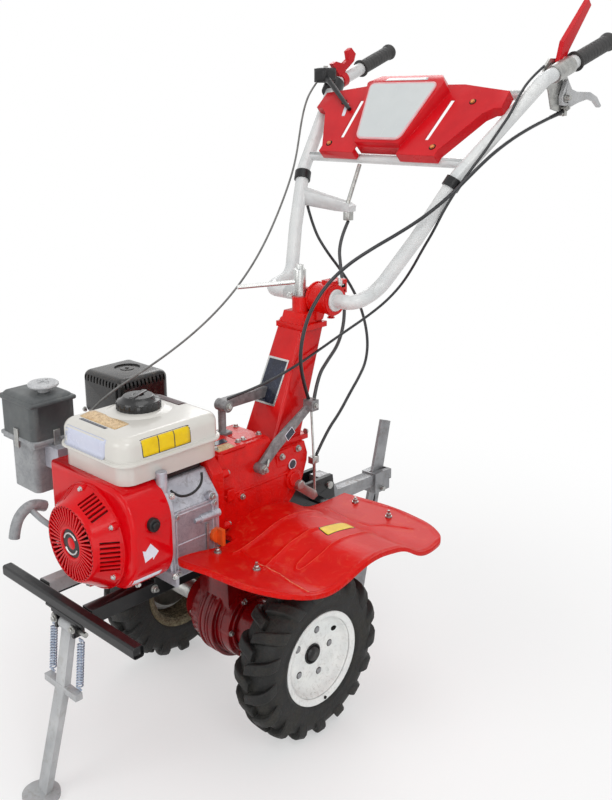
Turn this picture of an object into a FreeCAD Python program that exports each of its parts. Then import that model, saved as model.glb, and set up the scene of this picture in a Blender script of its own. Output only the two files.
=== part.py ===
import FreeCAD, Part
import math
import os
import re
import Sketcher
from FreeCAD import Placement, Rotation, Vector

# Walking power weeder: petrol engine on a short bed, gear case over one driven axle,
# two lugged tyres under wide fenders, T column with a tilting handlebar.
# Frame: +X forward to the recoil starter, +Y to the machine's left, +Z up,
# origin on the ground under the middle of the axle. Millimetres.

doc = FreeCAD.newDocument("PowerWeeder")
sheet = doc.addObject("Spreadsheet::Sheet", "Sizes")

SIZES = [
    ("tyre_dia", 366, "lug tip to lug tip"),
    ("tyre_width", 94, "section width"),
    ("wheel_gauge", 446, "between the tyre centres"),
    ("rim_lip_dia", 206, "outside of the rim lip"),
    ("rim_seat_dia", 176, "bead seat"),
    ("rim_width", 84, "over the rim lips"),
    ("rim_sheet", 4, "rim and disc sheet"),
    ("disc_outset", 13, "disc face outside the tyre centre"),
    ("wheel_bolt_circle", 104, "five wheel bolts"),
    ("wheel_bolt_dia", 10, "wheel bolt thread"),
    ("disc_window", 14, "valve hole in the disc"),
    ("axle_dia", 30, "output shaft"),
    ("running_gap", 0.1, "shaft to bore, on the diameter"),
    ("wheel_tube_dia", 46, "hub tube on the shaft"),
    ("ring_dia", 180, "big ring of the final drive"),
    ("ring_width", 40, "big ring of the final drive"),
    ("drum_dia", 158, "final drive drum round the axle"),
    ("drum_width", 124, "final drive drum"),
    ("cover_dia", 116, "bearing covers at the drum ends"),
    ("cover_reach", 104, "bearing cover face from the middle plane"),
    ("leg_length", 120, "final drive leg along the machine"),
    ("leg_width", 92, "final drive leg across the machine"),
    ("gear_bottom", 352, "underside of the gear case front"),
    ("gear_top", 604, "top face of the gear case"),
    ("seat_drop", 36, "column seat below the top face"),
    ("gear_half_width", 64, "gear case from the middle plane"),
    ("gear_front", 98, "gear case front joint"),
    ("gear_tail", 168, "gear case tail behind the axle"),
    ("bell_depth", 30, "clutch bell between gear case and engine"),
    ("bell_half_width", 84, "clutch bell from the middle plane"),
    ("crank_height", 500, "engine crankshaft"),
    ("engine_base", 394, "engine feet"),
    ("engine_depth", 128, "crankcase along the machine"),
    ("engine_left", 96, "crankcase left face"),
    ("engine_right", 78, "crankcase right face"),
    ("engine_top", 590, "crankcase top"),
    ("barrel_lean", 25, "cylinder above level"),
    ("barrel_reach", 176, "crankshaft to cylinder head joint"),
    ("barrel_size", 104, "cylinder block square"),
    ("head_depth", 46, "valve cover and head"),
    ("shroud_front", 360, "front face of the fan shroud"),
    ("shroud_top", 614, "top of the fan shroud"),
    ("shroud_drop", 92, "shroud bottom below the crankshaft"),
    ("shroud_left", 128, "shroud left side"),
    ("shroud_right", 142, "shroud right side"),
    ("starter_dia", 196, "recoil starter base"),
    ("starter_face_dia", 150, "recoil starter front ring"),
    ("starter_depth", 54, "recoil starter"),
    ("tank_length", 256, "fuel tank along the machine"),
    ("tank_width", 220, "fuel tank across the machine"),
    ("tank_back", 95, "rear edge of the tank seam"),
    ("tank_middle", 18, "tank middle, right of the middle plane"),
    ("tank_bottom", 630, "tank underside"),
    ("tank_seam", 654, "tank seam height"),
    ("tank_top", 706, "tank top"),
    ("seam_lip", 8, "tank seam lip"),
    ("cap_dia", 90, "fuel cap"),
    ("cap_depth", 26, "fuel cap"),
    ("muffler_length", 138, "muffler box along the machine"),
    ("muffler_width", 148, "muffler box across the machine"),
    ("muffler_depth", 104, "muffler box height"),
    ("muffler_top", 714, "muffler box top"),
    ("cleaner_length", 108, "air cleaner along the machine"),
    ("cleaner_width", 130, "air cleaner across the machine"),
    ("cleaner_top", 712, "air cleaner top"),
    ("cleaner_depth", 96, "air cleaner cover height"),
    ("bowl_depth", 108, "air cleaner lower housing"),
    ("knob_dia", 30, "air cleaner knob"),
    ("rail_size", 30, "bed rails, square"),
    ("rail_top", 384, "top of the bed rails"),
    ("rail_gap", 150, "between rail middles"),
    ("rail_shift", 30, "rails right of the middle plane"),
    ("bed_sheet", 10, "engine bed plate"),
    ("bumper_front", 442, "front face of the bumper bar"),
    ("bumper_width", 450, "bumper bar across the machine"),
    ("bumper_size", 26, "bumper bar section"),
    ("stand_pin_dia", 10, "stand hinge pin"),
    ("stand_pin_height", 336, "stand hinge above the ground"),
    ("stand_bar", 30, "stand leg bar width"),
    ("stand_sheet", 12, "stand leg bar thickness"),
    ("stand_foot_dia", 74, "stand foot plate"),
    ("spring_dia", 15, "stand spring coil outside"),
    ("column_wide", 92, "column foot across the machine"),
    ("column_neck", 72, "column top across the machine"),
    ("column_deep", 88, "column base along the machine"),
    ("column_lean", 23, "column leans back"),
    ("column_top", 808, "column head plate underside"),
    ("barrel_tube_dia", 66, "handlebar clamp barrel"),
    ("barrel_tube_width", 98, "handlebar clamp barrel"),
    ("barrel_tube_right", 22, "barrel end right of the middle plane"),
    ("clamp_height", 872, "handlebar hinge above the ground"),
    ("clamp_back", 250, "handlebar hinge behind the axle"),
    ("stud_dia", 27, "handlebar lock sleeve"),
    ("tube_dia", 32, "handlebar tube"),
    ("grip_dia", 45, "hand grip"),
    ("grip_length", 150, "hand grip"),
    ("cross_tube_dia", 22, "handlebar cross tubes"),
    ("panel_sheet", 22, "control panel depth"),
    ("fender_sheet", 2.5, "fender steel"),
    ("fender_inner", 80, "fender inner edge from the middle plane"),
    ("fender_outer", 392, "fender outer edge from the middle plane"),
    ("fender_lip", 9, "turned down fender edge"),
    ("hitch_plate", 10, "hitch side plates"),
    ("hitch_gap", 44, "between the hitch plates"),
    ("implement_pin_dia", 13, "hole for an implement pin in the hitch plates"),
    ("blade_sheet", 8, "depth blade"),
    ("seat_gap", 0.3, "clearance between pieces that move past each other"),
]
S = {}
for row, (alias, value, note) in enumerate(SIZES, 1):
    sheet.set(f"A{row}", alias)
    sheet.set(f"B{row}", str(value))
    sheet.set(f"C{row}", note)
    sheet.setAlias(f"B{row}", alias)
    S[alias] = float(value)
doc.recompute()

ALIAS = re.compile(r"\b(" + "|".join(sorted(S, key=len, reverse=True)) + r")\b")
NODES = []
serial = iter(range(1, 9999))


def words(expression):
    return ALIAS.sub(r"Sizes.\1", str(expression))


def bind(thing, **props):
    for prop, expression in props.items():
        thing.setExpression(prop, words(expression))
    return thing


def put(thing, at, turn=None):
    """Place a piece: three expressions and an optional rotation."""
    if turn:
        thing.Placement = Placement(Vector(), turn)
    for axis, expression in zip("xyz", at):
        thing.setExpression(f"Placement.Base.{axis}", words(expression))
    return thing


def name_of(kind):
    return f"{kind}{next(serial)}"


def node(label, thing):
    thing.Label = label
    NODES.append((label, thing))
    return thing


AXIS = {
    "x": Rotation(Vector(0, 1, 0), 90),
    "y": Rotation(Vector(1, 0, 0), -90),
    "z": Rotation(),
}


def box(length, width, height, at):
    thing = doc.addObject("Part::Box", name_of("Box"))
    return put(bind(thing, Length=length, Width=width, Height=height), at)


def rod(dia, length, at, axis="z", turn=None):
    thing = doc.addObject("Part::Cylinder", name_of("Rod"))
    return put(bind(thing, Radius=f"({dia}) / 2", Height=length), at, turn or AXIS[axis])


def outline(points):
    """A closed sketch whose corners are dimensioned from the origin."""
    sketch = doc.addObject("Sketcher::SketchObject", name_of("Outline"))
    n = len(points)
    for i in range(n):
        a = Vector(10.0 * i, (i % 2) * 10.0 + 1, 0)
        b = Vector(10.0 * (i + 1), ((i + 1) % 2) * 10.0 + 1, 0)
        sketch.addGeometry(Part.LineSegment(a, b), False)
    for i in range(n):
        sketch.addConstraint(Sketcher.Constraint("Coincident", i, 2, (i + 1) % n, 1))
    for i, point in enumerate(points):
        for kind, expression in zip(("DistanceX", "DistanceY"), point):
            at = sketch.addConstraint(Sketcher.Constraint(kind, -1, 1, i, 1, 1.0))
            sketch.setExpression(f"Constraints[{at}]", words(expression))
    return sketch


PLANE = {
    "xy": Rotation(),
    "xz": Rotation(Vector(1, 0, 0), 90),
    "yz": Rotation(Vector(0, 0, 1), Vector(1, 0, 0), Vector(0, 1, 0), "ZXY"),
}
PLANE["yz"] = Rotation(Vector(0, 1, 0), Vector(0, 0, 1), Vector(1, 0, 0), "ZXY")


def prism(plane, points, start, length):
    """A straight solid: outline in a plane, from start along that plane's third axis."""
    thing = doc.addObject("Part::Extrusion", name_of("Prism"))
    thing.Base = outline(points)
    thing.DirMode = "Custom"
    thing.Dir = Vector(0, 0, 1)
    thing.Solid = True
    bind(thing, LengthFwd=length)
    at = {"xy": ("0", "0", start), "xz": ("0", f"({start}) + ({length})", "0"),
          "yz": (start, "0", "0")}[plane]
    return put(thing, at, PLANE[plane])


def turned(points, at, axis):
    """A turned solid: (radius, station) corners about an axis through at."""
    thing = doc.addObject("Part::Revolution", name_of("Turned"))
    sketch = outline(points)
    sketch.Placement = Placement(Vector(), PLANE["xz"])
    thing.Source = sketch
    thing.Axis = Vector(0, 0, 1)
    thing.Angle = 360
    thing.Solid = True
    return put(thing, at, AXIS[axis])


def fuse(*things):
    thing = doc.addObject("Part::MultiFuse", name_of("Joined"))
    thing.Shapes = list(things)
    thing.Refine = True
    return thing


def cut(base, *tools):
    thing = doc.addObject("Part::Cut", name_of("Cut"))
    thing.Base = base
    thing.Tool = tools[0] if len(tools) == 1 else fuse(*tools)
    return thing


def common(a, b):
    thing = doc.addObject("Part::Common", name_of("Common"))
    thing.Base, thing.Tool = a, b
    return thing


def mirrored(source):
    thing = doc.addObject("Part::Mirroring", name_of("Mirrored"))
    thing.Source = source
    thing.Normal = Vector(0, 1, 0)
    return thing


def group(*things):
    """Like pieces of one node that do not touch."""
    thing = doc.addObject("Part::Compound", name_of("Group"))
    thing.Links = list(things)
    return thing


def pair(thing):
    return group(thing, mirrored(thing))


def rounded(base, radius, pick):
    """Round the edges that pick() chooses from their two ends."""
    doc.recompute()
    chosen = []
    for i, edge in enumerate(base.Shape.Edges, 1):
        if len(edge.Vertexes) == 2 and pick(edge.Vertexes[0].Point, edge.Vertexes[1].Point):
            chosen.append((i, radius, radius))
    thing = doc.addObject("Part::Fillet", name_of("Rounded"))
    thing.Base = base
    thing.Edges = chosen
    return thing


def along(axis):
    i = "xyz".index(axis)

    def pick(a, b):
        d = b - a
        return abs(abs(d[i]) - d.Length) < 1e-6
    return pick


def placed(thing, shape):
    thing.Shape = shape
    return thing


def route(points, share=0.45, limit=None, radii=None):
    """Straight runs joined by tangent arcs; returns the wire and its radii."""
    points = [Vector(*p) for p in points]
    edges, seen, start = [], [], points[0]
    for i in range(1, len(points) - 1):
        a, b, c = points[i - 1:i + 2]
        u, v = (b - a).normalize(), (c - b).normalize()
        turn = u.getAngle(v)
        radius = share * min((b - a).Length, (c - b).Length) / math.tan(turn / 2)
        if limit:
            radius = min(radius, limit)
        cutback = radius * math.tan(turn / 2)
        first, last = b - u * cutback, b + v * cutback
        inward = (v - u).normalize()
        middle = b + inward * (radius / math.cos(turn / 2) - radius)
        edges.append(Part.LineSegment(start, first).toShape())
        edges.append(Part.Arc(first, middle, last).toShape())
        seen.append(radius)
        start = last
    edges.append(Part.LineSegment(start, points[-1]).toShape())
    return Part.Wire(edges), seen


def tube(points, dia, bore=None, limit=None):
    """A round bar or tube that follows a route of points."""
    wire, seen = route(points, limit=limit)
    first = wire.Edges[0]
    way = first.tangentAt(first.FirstParameter)

    def swept(d):
        ring = Part.Wire([Part.makeCircle(d / 2, Vector(*points[0]), way)])
        return wire.makePipeShell([ring], True, False)
    shape = swept(dia)
    if bore:
        shape = shape.cut(swept(bore))
    thing = doc.addObject("Part::Feature", name_of("Tube"))
    return placed(thing, shape), wire, seen


# ---- wheels -------------------------------------------------------------------------
AXLE_Z = "tyre_dia / 2"
left_tyre = turned(
    [("rim_seat_dia / 2", "-rim_width / 2 + rim_sheet"),
     ("rim_lip_dia / 2 + 1", "-rim_width / 2 + rim_sheet"),
     ("rim_lip_dia / 2 + 5", "-tyre_width / 2 + 3"),
     ("tyre_dia / 2 - 56", "-tyre_width / 2"),
     ("tyre_dia / 2 - 34", "-tyre_width / 2 + 1"),
     ("tyre_dia / 2 - 15", "-tyre_width / 2 + 6"),
     ("tyre_dia / 2 - 4", "-tyre_width / 2 + 17"),
     ("tyre_dia / 2", "-tyre_width / 2 + 30"),
     ("tyre_dia / 2", "tyre_width / 2 - 30"),
     ("tyre_dia / 2 - 4", "tyre_width / 2 - 17"),
     ("tyre_dia / 2 - 15", "tyre_width / 2 - 6"),
     ("tyre_dia / 2 - 34", "tyre_width / 2 - 1"),
     ("tyre_dia / 2 - 56", "tyre_width / 2"),
     ("rim_lip_dia / 2 + 5", "tyre_width / 2 - 3"),
     ("rim_lip_dia / 2 + 1", "rim_width / 2 - rim_sheet"),
     ("rim_seat_dia / 2", "rim_width / 2 - rim_sheet")],
    ("0", "wheel_gauge / 2", AXLE_Z), "y")
rim_shell = turned(
    [("rim_lip_dia / 2", "-rim_width / 2"),
     ("rim_lip_dia / 2", "-rim_width / 2 + rim_sheet"),
     ("rim_seat_dia / 2", "-rim_width / 2 + rim_sheet"),
     ("rim_seat_dia / 2", "rim_width / 2 - rim_sheet"),
     ("rim_lip_dia / 2", "rim_width / 2 - rim_sheet"),
     ("rim_lip_dia / 2", "rim_width / 2"),
     ("rim_seat_dia / 2 - rim_sheet", "rim_width / 2"),
     ("rim_seat_dia / 2 - rim_sheet", "disc_outset"),
     ("axle_dia / 2", "disc_outset"),
     ("axle_dia / 2", "disc_outset - rim_sheet"),
     ("rim_seat_dia / 2 - rim_sheet", "disc_outset - rim_sheet"),
     ("rim_seat_dia / 2 - rim_sheet", "-rim_width / 2")],
    ("0", "wheel_gauge / 2", AXLE_Z), "y")
holes = []
for i in range(5):
    angle = 177 + 72 * i
    holes.append(rod(
        "wheel_bolt_dia", "rim_sheet + 20",
        (f"wheel_bolt_circle / 2 * cos({angle} deg)", "wheel_gauge / 2 + disc_outset - 14",
         f"{AXLE_Z} + wheel_bolt_circle / 2 * sin({angle} deg)"), "y"))
holes.append(rod("disc_window", "rim_sheet + 20",
                 ("-(rim_seat_dia / 2 - 16) * cos(20 deg)",
                  "wheel_gauge / 2 + disc_outset - 14",
                  f"{AXLE_Z} + (rim_seat_dia / 2 - 16) * sin(20 deg)"), "y"))
left_rim = cut(rim_shell, *holes)
node("tyre_left", left_tyre)
node("tyre_right", mirrored(left_tyre))
node("wheel_rims", pair(left_rim))
HALF_AXLE = "wheel_gauge / 2 + disc_outset"
node("axle_shaft", rod("axle_dia", f"2 * ({HALF_AXLE}) + 12",
                       ("0", f"-({HALF_AXLE}) - 6", AXLE_Z), "y"))
HUB_START = "cover_reach + 8"
left_hub = turned(
    [("axle_dia / 2", HUB_START), ("wheel_tube_dia / 2", HUB_START),
     ("wheel_tube_dia / 2", f"{HALF_AXLE} - rim_sheet - 8"),
     ("wheel_bolt_circle / 2 + 14", f"{HALF_AXLE} - rim_sheet - 8"),
     ("wheel_bolt_circle / 2 + 14", f"{HALF_AXLE} - rim_sheet"),
     ("axle_dia / 2", f"{HALF_AXLE} - rim_sheet")],
    ("0", "0", AXLE_Z), "y")
bolts = [rod("wheel_bolt_dia", "rim_sheet + 16",
             (f"wheel_bolt_circle / 2 * cos({177 + 72 * i} deg)",
              f"{HALF_AXLE} - rim_sheet - 4",
              f"{AXLE_Z} + wheel_bolt_circle / 2 * sin({177 + 72 * i} deg)"), "y")
         for i in range(5)]
left_hub = fuse(left_hub, *bolts)
node("wheel_hubs", pair(left_hub))

# ---- gear case and final drive --------------------------------------------------------
SHAFT_HOLE = rod("axle_dia + running_gap", "2 * cover_reach + 40",
                 ("0", "-cover_reach - 20", AXLE_Z), "y")
LEG = prism("xz", [("-leg_length / 2", AXLE_Z), ("leg_length / 2", AXLE_Z),
                   ("leg_length / 2 + 4", "gear_bottom"), ("-leg_length / 2 - 4", "gear_bottom")],
            "-leg_width / 2", "leg_width")
drum = turned([("0", "-cover_reach"), ("cover_dia / 2", "-cover_reach"),
               ("cover_dia / 2", "-drum_width / 2"), ("drum_dia / 2", "-drum_width / 2"),
               ("drum_dia / 2", "-ring_width / 2"), ("ring_dia / 2", "-ring_width / 2"),
               ("ring_dia / 2", "ring_width / 2"), ("drum_dia / 2", "ring_width / 2"),
               ("drum_dia / 2", "drum_width / 2"), ("cover_dia / 2", "drum_width / 2"),
               ("cover_dia / 2", "cover_reach"), ("0", "cover_reach")],
              ("0", "0", AXLE_Z), "y")
node("final_drive_case", cut(fuse(LEG, drum), SHAFT_HOLE))

SEAT = "gear_top - seat_drop"
case = prism("xz", [("gear_front", "gear_bottom"), ("gear_front", "gear_top"),
                    ("-56", "gear_top"), ("-60", SEAT), ("-gear_tail + 8", SEAT),
                    ("-gear_tail - 2", "gear_top - 66"), ("-gear_tail", "gear_top - 84"),
                    ("-gear_tail + 16", "gear_top - 126"), ("-117", "gear_top - 162"),
                    ("-leg_length / 2 - 4", "gear_top - 186"),
                    ("-leg_length / 2 - 4", "gear_bottom")],
             "-gear_half_width", "2 * gear_half_width")
case = rounded(case, 12, lambda a, b: along("x")(a, b) and a.z > 600)
shift_boss = rod("48", "2 * gear_half_width + 20", ("-118", "-gear_half_width - 10",
                                                   "gear_top - 112"), "y")
node("gearbox_housing", fuse(case, shift_boss))
bell = prism("yz", [("-bell_half_width", "gear_bottom - 2"), ("bell_half_width", "gear_bottom - 2"),
                    ("bell_half_width", "gear_top - 26"), ("bell_half_width - 26", "gear_top + 4"),
                    ("-bell_half_width + 26", "gear_top + 4"), ("-bell_half_width", "gear_top - 26")],
             "gear_front", "bell_depth")
node("clutch_bell", bell)
ENGINE_BACK = "gear_front + bell_depth"
ENGINE_FRONT = f"{ENGINE_BACK} + engine_depth"

# ---- engine -------------------------------------------------------------------------
crankcase = prism("yz", [("-engine_right", "engine_base"), ("engine_left", "engine_base"),
                         ("engine_left + 6", "engine_base + 14"),
                         ("engine_left + 6", "engine_top - 50"),
                         ("engine_left - 34", "engine_top"), ("-engine_right", "engine_top")],
                  ENGINE_BACK, "engine_depth")
crankcase = rounded(crankcase, 8, along("x"))
node("engine_block", crankcase)
LEAN = Rotation(Vector(1, 0, 0), 90 - S["barrel_lean"])
barrel = doc.addObject("Part::Box", "Barrel")
bind(barrel, Length="barrel_size", Width="barrel_size", Height="barrel_reach - engine_right - 6")
put(barrel, (f"{ENGINE_BACK} + 12",
             "-(engine_right + 6) * cos(barrel_lean * 1 deg) - barrel_size / 2 * sin(barrel_lean * 1 deg)",
             "crank_height + (engine_right + 6) * sin(barrel_lean * 1 deg)"
             " - barrel_size / 2 * cos(barrel_lean * 1 deg)"), LEAN)
head = doc.addObject("Part::Box", "Head")
bind(head, Length="barrel_size - 8", Width="barrel_size - 8", Height="head_depth")
put(head, (f"{ENGINE_BACK} + 16",
           "-barrel_reach * cos(barrel_lean * 1 deg)"
           " - (barrel_size / 2 - 4) * sin(barrel_lean * 1 deg)",
           "crank_height + barrel_reach * sin(barrel_lean * 1 deg)"
           " - (barrel_size / 2 - 4) * cos(barrel_lean * 1 deg)"), LEAN)
cylinder = fuse(barrel, rounded(head, 12, lambda a, b: a.y + b.y < -2 * 186))
node("engine_cylinder", cut(cylinder, crankcase))
shroud = box(f"shroud_front - ({ENGINE_FRONT})", "shroud_left + shroud_right",
             "shroud_top - crank_height + shroud_drop",
             (ENGINE_FRONT, "-shroud_right", "crank_height - shroud_drop"))
shroud = rounded(shroud, 74, lambda a, b: along("x")(a, b) and a.y > 0)
shroud = rounded(shroud, 42, lambda a, b: along("x")(a, b) and a.y < -100 and a.z < 450)
shroud = rounded(shroud, 10, lambda a, b: a.x > 355 and b.x > 355)
switch = rod("24", "14", ("312", "shroud_left", "548"), "y")
node("fan_shroud", fuse(shroud, switch))
starter = turned([("0", "0"), ("starter_dia / 2", "0"), ("starter_dia / 2", "10"),
                  ("starter_dia / 2 - 8", "22"), ("starter_face_dia / 2 + 4", "starter_depth - 10"),
                  ("starter_face_dia / 2", "starter_depth"), ("30", "starter_depth"),
                  ("30", "starter_depth - 4"), ("0", "starter_depth - 4")],
                 ("shroud_front", "0", "crank_height"), "x")
node("recoil_starter", starter)
grip_bar = rod("22", "88", ("447", "-152", "484"), "z", Rotation(Vector(0, 1, 0), -62))
grip_neck = rod("12", "82", ("403", "-70", "506"), "y", Rotation(Vector(1, 0, 0), 90))
node("starter_grip", cut(fuse(grip_bar, grip_neck), starter))
node("oil_plug", fuse(rod("30", "14", ("144", "engine_left + 6", "462"), "y"),
                      box("8", "16", "34", ("140", "engine_left + 20", "445"))))

# ---- fuel tank ----------------------------------------------------------------------
TANK_RIGHT = "-tank_middle - tank_width / 2"
tub = rounded(box("tank_length - 2 * seam_lip", "tank_width - 2 * seam_lip",
                  "tank_seam - tank_bottom",
                  ("tank_back + seam_lip", f"{TANK_RIGHT} + seam_lip", "tank_bottom")),
              30, along("z"))
lip = rounded(box("tank_length", "tank_width", "6", ("tank_back", TANK_RIGHT, "tank_seam")),
              38, along("z"))
dome = rounded(box("tank_length - seam_lip", "tank_width - seam_lip",
                   "tank_top - tank_seam - 6",
                   ("tank_back + seam_lip / 2", f"{TANK_RIGHT} + seam_lip / 2", "tank_seam + 6")),
               34, along("z"))
dome = rounded(dome, 20, lambda a, b: a.z > S["tank_top"] - 1 and b.z > S["tank_top"] - 1)
node("fuel_tank", fuse(tub, lip, dome))
node("fuel_cap", fuse(rod("cap_dia", "cap_depth", ("205", "-45", "tank_top")),
                      rod("cap_dia - 18", "cap_depth + 5", ("205", "-45", "tank_top"))))
node("tank_mount", fuse(
    box("engine_depth - 8", "26", "tank_bottom - engine_top - 8",
        (f"{ENGINE_BACK} + 4", "-60", "engine_top + 8")),
    box("engine_depth - 8", "26", "tank_bottom - engine_top - 8",
        (f"{ENGINE_BACK} + 4", "30", "engine_top + 8")),
    box("110", "116", "8", (f"{ENGINE_BACK} + 8", "-60", "engine_top"))))

# ---- muffler and air cleaner ----------------------------------------------------------
MUFFLER_LEFT = "-(206)"
muffler = box("muffler_length", "muffler_width", "muffler_depth",
              ("-4", f"{MUFFLER_LEFT} - muffler_width", "muffler_top - muffler_depth"))
exhaust = tube([(143.9, -200, 585), (98, -200, 585), (66, -228, 590), (64, -236, 612)],
               26, limit=26)[0]
muffler = fuse(rounded(muffler, 14, lambda a, b: along("x")(a, b) or along("z")(a, b)), exhaust)
node("muffler", muffler)
cover = rounded(box("cleaner_length", "cleaner_width", "cleaner_depth",
                    ("232", "-360", "cleaner_top - cleaner_depth")),
                16, lambda a, b: along("z")(a, b) or a.z + b.z > 1420)
knob = rod("knob_dia", "16", ("280", "-295", "cleaner_top"))
node("air_cleaner", fuse(cover, knob))
node("air_cleaner_base", fuse(
    box("cleaner_length - 4", "cleaner_width - 4", "10", ("234", "-358", "cleaner_top - cleaner_depth - 10")),
    rounded(box("cleaner_length - 24", "cleaner_width - 34", "bowl_depth",
                ("244", "-348", "cleaner_top - cleaner_depth - 10 - bowl_depth")), 14, along("z"))))
node("carburettor", cut(fuse(
    box("54", "52", "50", ("250", "-252", "556")),
    box("24", "52", "36", ("236", "-222", "566"))), cylinder))

# ---- bed, bumper and stand --------------------------------------------------------------
RAIL_Y = ("rail_gap / 2 - rail_shift - rail_size / 2",
          "-rail_gap / 2 - rail_shift - rail_size / 2")
RAIL_END = "bumper_front - bumper_size"
rails = []
for y in RAIL_Y:
    outer = box(f"{RAIL_END} - ({ENGINE_BACK})", "rail_size", "rail_size",
                (ENGINE_BACK, y, "rail_top - rail_size"))
    inner = box(f"{RAIL_END} - ({ENGINE_BACK}) + 20", "rail_size - 6", "rail_size - 6",
                (f"{ENGINE_BACK} - 10", f"{y} + 3", "rail_top - rail_size + 3"))
    rails.append(cut(outer, inner))
bed = box("engine_depth + 10", "rail_gap + rail_size", "bed_sheet",
          (ENGINE_BACK, RAIL_Y[1], "rail_top"))
node("engine_bed", fuse(bed, *rails))
bumper = box("bumper_size", "bumper_width", "bumper_size",
             ("bumper_front - bumper_size", "-bumper_width / 2", "rail_top - bumper_size + 2"))
bumper = rounded(bumper, 4, along("y"))
bumper = cut(bumper, box("bumper_size - 6", "bumper_width + 20", "bumper_size - 6",
                         ("bumper_front - bumper_size + 3", "-bumper_width / 2 - 10",
                          "rail_top - bumper_size + 5")))
node("front_bumper", bumper)
PIN_X = "bumper_front - bumper_size / 2"
LUG_TOP = "rail_top - bumper_size + 2"
lugs = [box("26", "84", "6", (f"{PIN_X} - 13", "-42", f"{LUG_TOP} - 6"))]
for y in ("25", "-33"):
    lugs.append(box("26", "8", f"{LUG_TOP} - stand_pin_height + 12",
                    (f"{PIN_X} - 13", y, "stand_pin_height - 12")))
node("stand_bracket", cut(fuse(*lugs), rod("stand_pin_dia + running_gap", "120",
                                           (PIN_X, "-60", "stand_pin_height"), "y")))
eye = rod("26", "stand_bar + 10", (PIN_X, "-stand_bar / 2 - 5", "stand_pin_height"), "y")
leg = prism("xz", [(f"{PIN_X} - 7", "stand_pin_height"), (f"{PIN_X} + 7", "stand_pin_height"),
                   (f"{PIN_X} + 33", "212"), ("519", "7"), ("505", "7"), (f"{PIN_X} + 18", "212")],
            "-stand_bar / 2", "stand_bar")
knee = box("16", "108", "14", (f"{PIN_X} + 16", "-54", "206"))
sole = rod("stand_foot_dia", "9", ("520", "0", "0"))
pin = rod("stand_pin_dia", "110", (PIN_X, "-55", "stand_pin_height"), "y")
node("stand_leg", fuse(leg, eye, knee, sole, pin))
springs = [tube([(434, y, 329), (446, y, 220)], S["spring_dia"])[0] for y in (46, -46)]
node("stand_springs", group(*springs))

# ---- column and handlebar head ------------------------------------------------------------
LEAN_BACK = "(column_top - gear_top + seat_drop) * tan(column_lean * 1 deg)"
column = prism("xz", [("-80", SEAT), ("-80 - column_deep", SEAT),
                      (f"-66 - {LEAN_BACK} - column_deep", "column_top"),
                      (f"-80 - {LEAN_BACK}", "column_top")], "-column_wide / 2", "column_wide")
taper = prism("yz", [("-column_wide / 2", SEAT), ("column_wide / 2", SEAT),
                     ("column_neck / 2", "column_top"), ("-column_neck / 2", "column_top")],
              "-320", "280")
column = rounded(common(column, taper), 7, lambda a, b: abs(a.z - b.z) > 50)
base_plate = box("column_deep + 30", "column_wide + 22", "12",
                 ("-column_deep - 92", "-column_wide / 2 - 11", SEAT))
node("handlebar_column", fuse(column, base_plate))
HEAD_X = "-clamp_back"
head_plate = box("74", "86", "12", (f"{HEAD_X} - 8", "-43", "column_top"))
hood = prism("xz", [("-188", "column_top + 12"), ("-254", "column_top + 12"),
                    ("-242", "column_top + 36"), ("-198", "column_top + 36")], "-32", "64")
boss = rod("36", "56", ("-217", "0", "column_top + 12"))
neck = prism("xz", [("-231", "column_top + 16"), ("-252", "column_top + 16"),
                    ("-clamp_back - 22", "clamp_height"),
                    ("-231", "clamp_height + 20")], "-barrel_tube_right + 3", "56")
clamp = turned([("0", "-barrel_tube_right"), ("19", "-barrel_tube_right"), ("19", "15"),
                ("barrel_tube_dia / 2", "15"),
                ("barrel_tube_dia / 2", "barrel_tube_width - barrel_tube_right"),
                ("0", "barrel_tube_width - barrel_tube_right")],
               (HEAD_X, "0", "clamp_height"), "y")
ears = box("46", "34", "30", (f"{HEAD_X} - 46", "34", "clamp_height + 10"))
bore = rod("tube_dia + running_gap", "barrel_tube_width + 20",
           (HEAD_X, "-barrel_tube_right - 10", "clamp_height"), "y")
sleeve = rod("stud_dia", "62", ("-217", "0", "column_top + 68"))
head = cut(fuse(neck, clamp, ears, head_plate, hood, boss), bore)
head.Refine = False
node("column_head", head)
stud = rod("16", "9", ("-217", "0", "column_top + 130"))
bar_way = Vector(119, -73, -4)
handle_bar = rod("10", "141", ("-217", "0", "909"), "x", Rotation(Vector(0, 0, 1), bar_way))
node("column_lock", fuse(sleeve, stud, handle_bar))

# ---- handlebar ------------------------------------------------------------------------
LEFT_ROUTE = [(-250, 70, 872), (-250, 130, 872), (-326, 132, 890), (-393, 181, 1000),
              (-470, 226, 1128), (-672, 305, 1328), (-917, 322, 1411)]
handle, handle_wire, radii = tube(LEFT_ROUTE, S["tube_dia"], S["tube_dia"] - 5, limit=70)
print("handlebar bend radii", [round(r) for r in radii])
node("handlebar_tube_left", handle)
arm = prism("yz", [("-208", "1084"), ("-60", "1057"), ("-46", "1050"), ("-48", "1036"),
                   ("-92", "1036"), ("-208", "1044")], "-459", "24")
outer_tube = tube(LEFT_ROUTE, S["tube_dia"], limit=70)[0]
both_tubes = (outer_tube, mirrored(outer_tube))
shift_hole = rod("10 + running_gap", "44", ("-447", "-60", "1018"))
node("handlebar_tube_right", fuse(mirrored(handle), cut(arm, both_tubes[1], shift_hole)))
ends = Vector(*LEFT_ROUTE[-1])
way = (ends - Vector(*LEFT_ROUTE[-2])).normalize()
back = ends - way * S["grip_length"]
grip = doc.addObject("Part::Feature", "Grip")
grip_solid = Part.makeCylinder(S["grip_dia"] / 2, S["grip_length"] + 6, back, way)
placed(grip, grip_solid.cut(Part.makeCylinder(S["tube_dia"] / 2, S["grip_length"], back, way)))
node("hand_grips", pair(grip))
LOW = Vector(-498, 0, 1156)
ALONG = Vector(-190, 0, 187).normalize()
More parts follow.
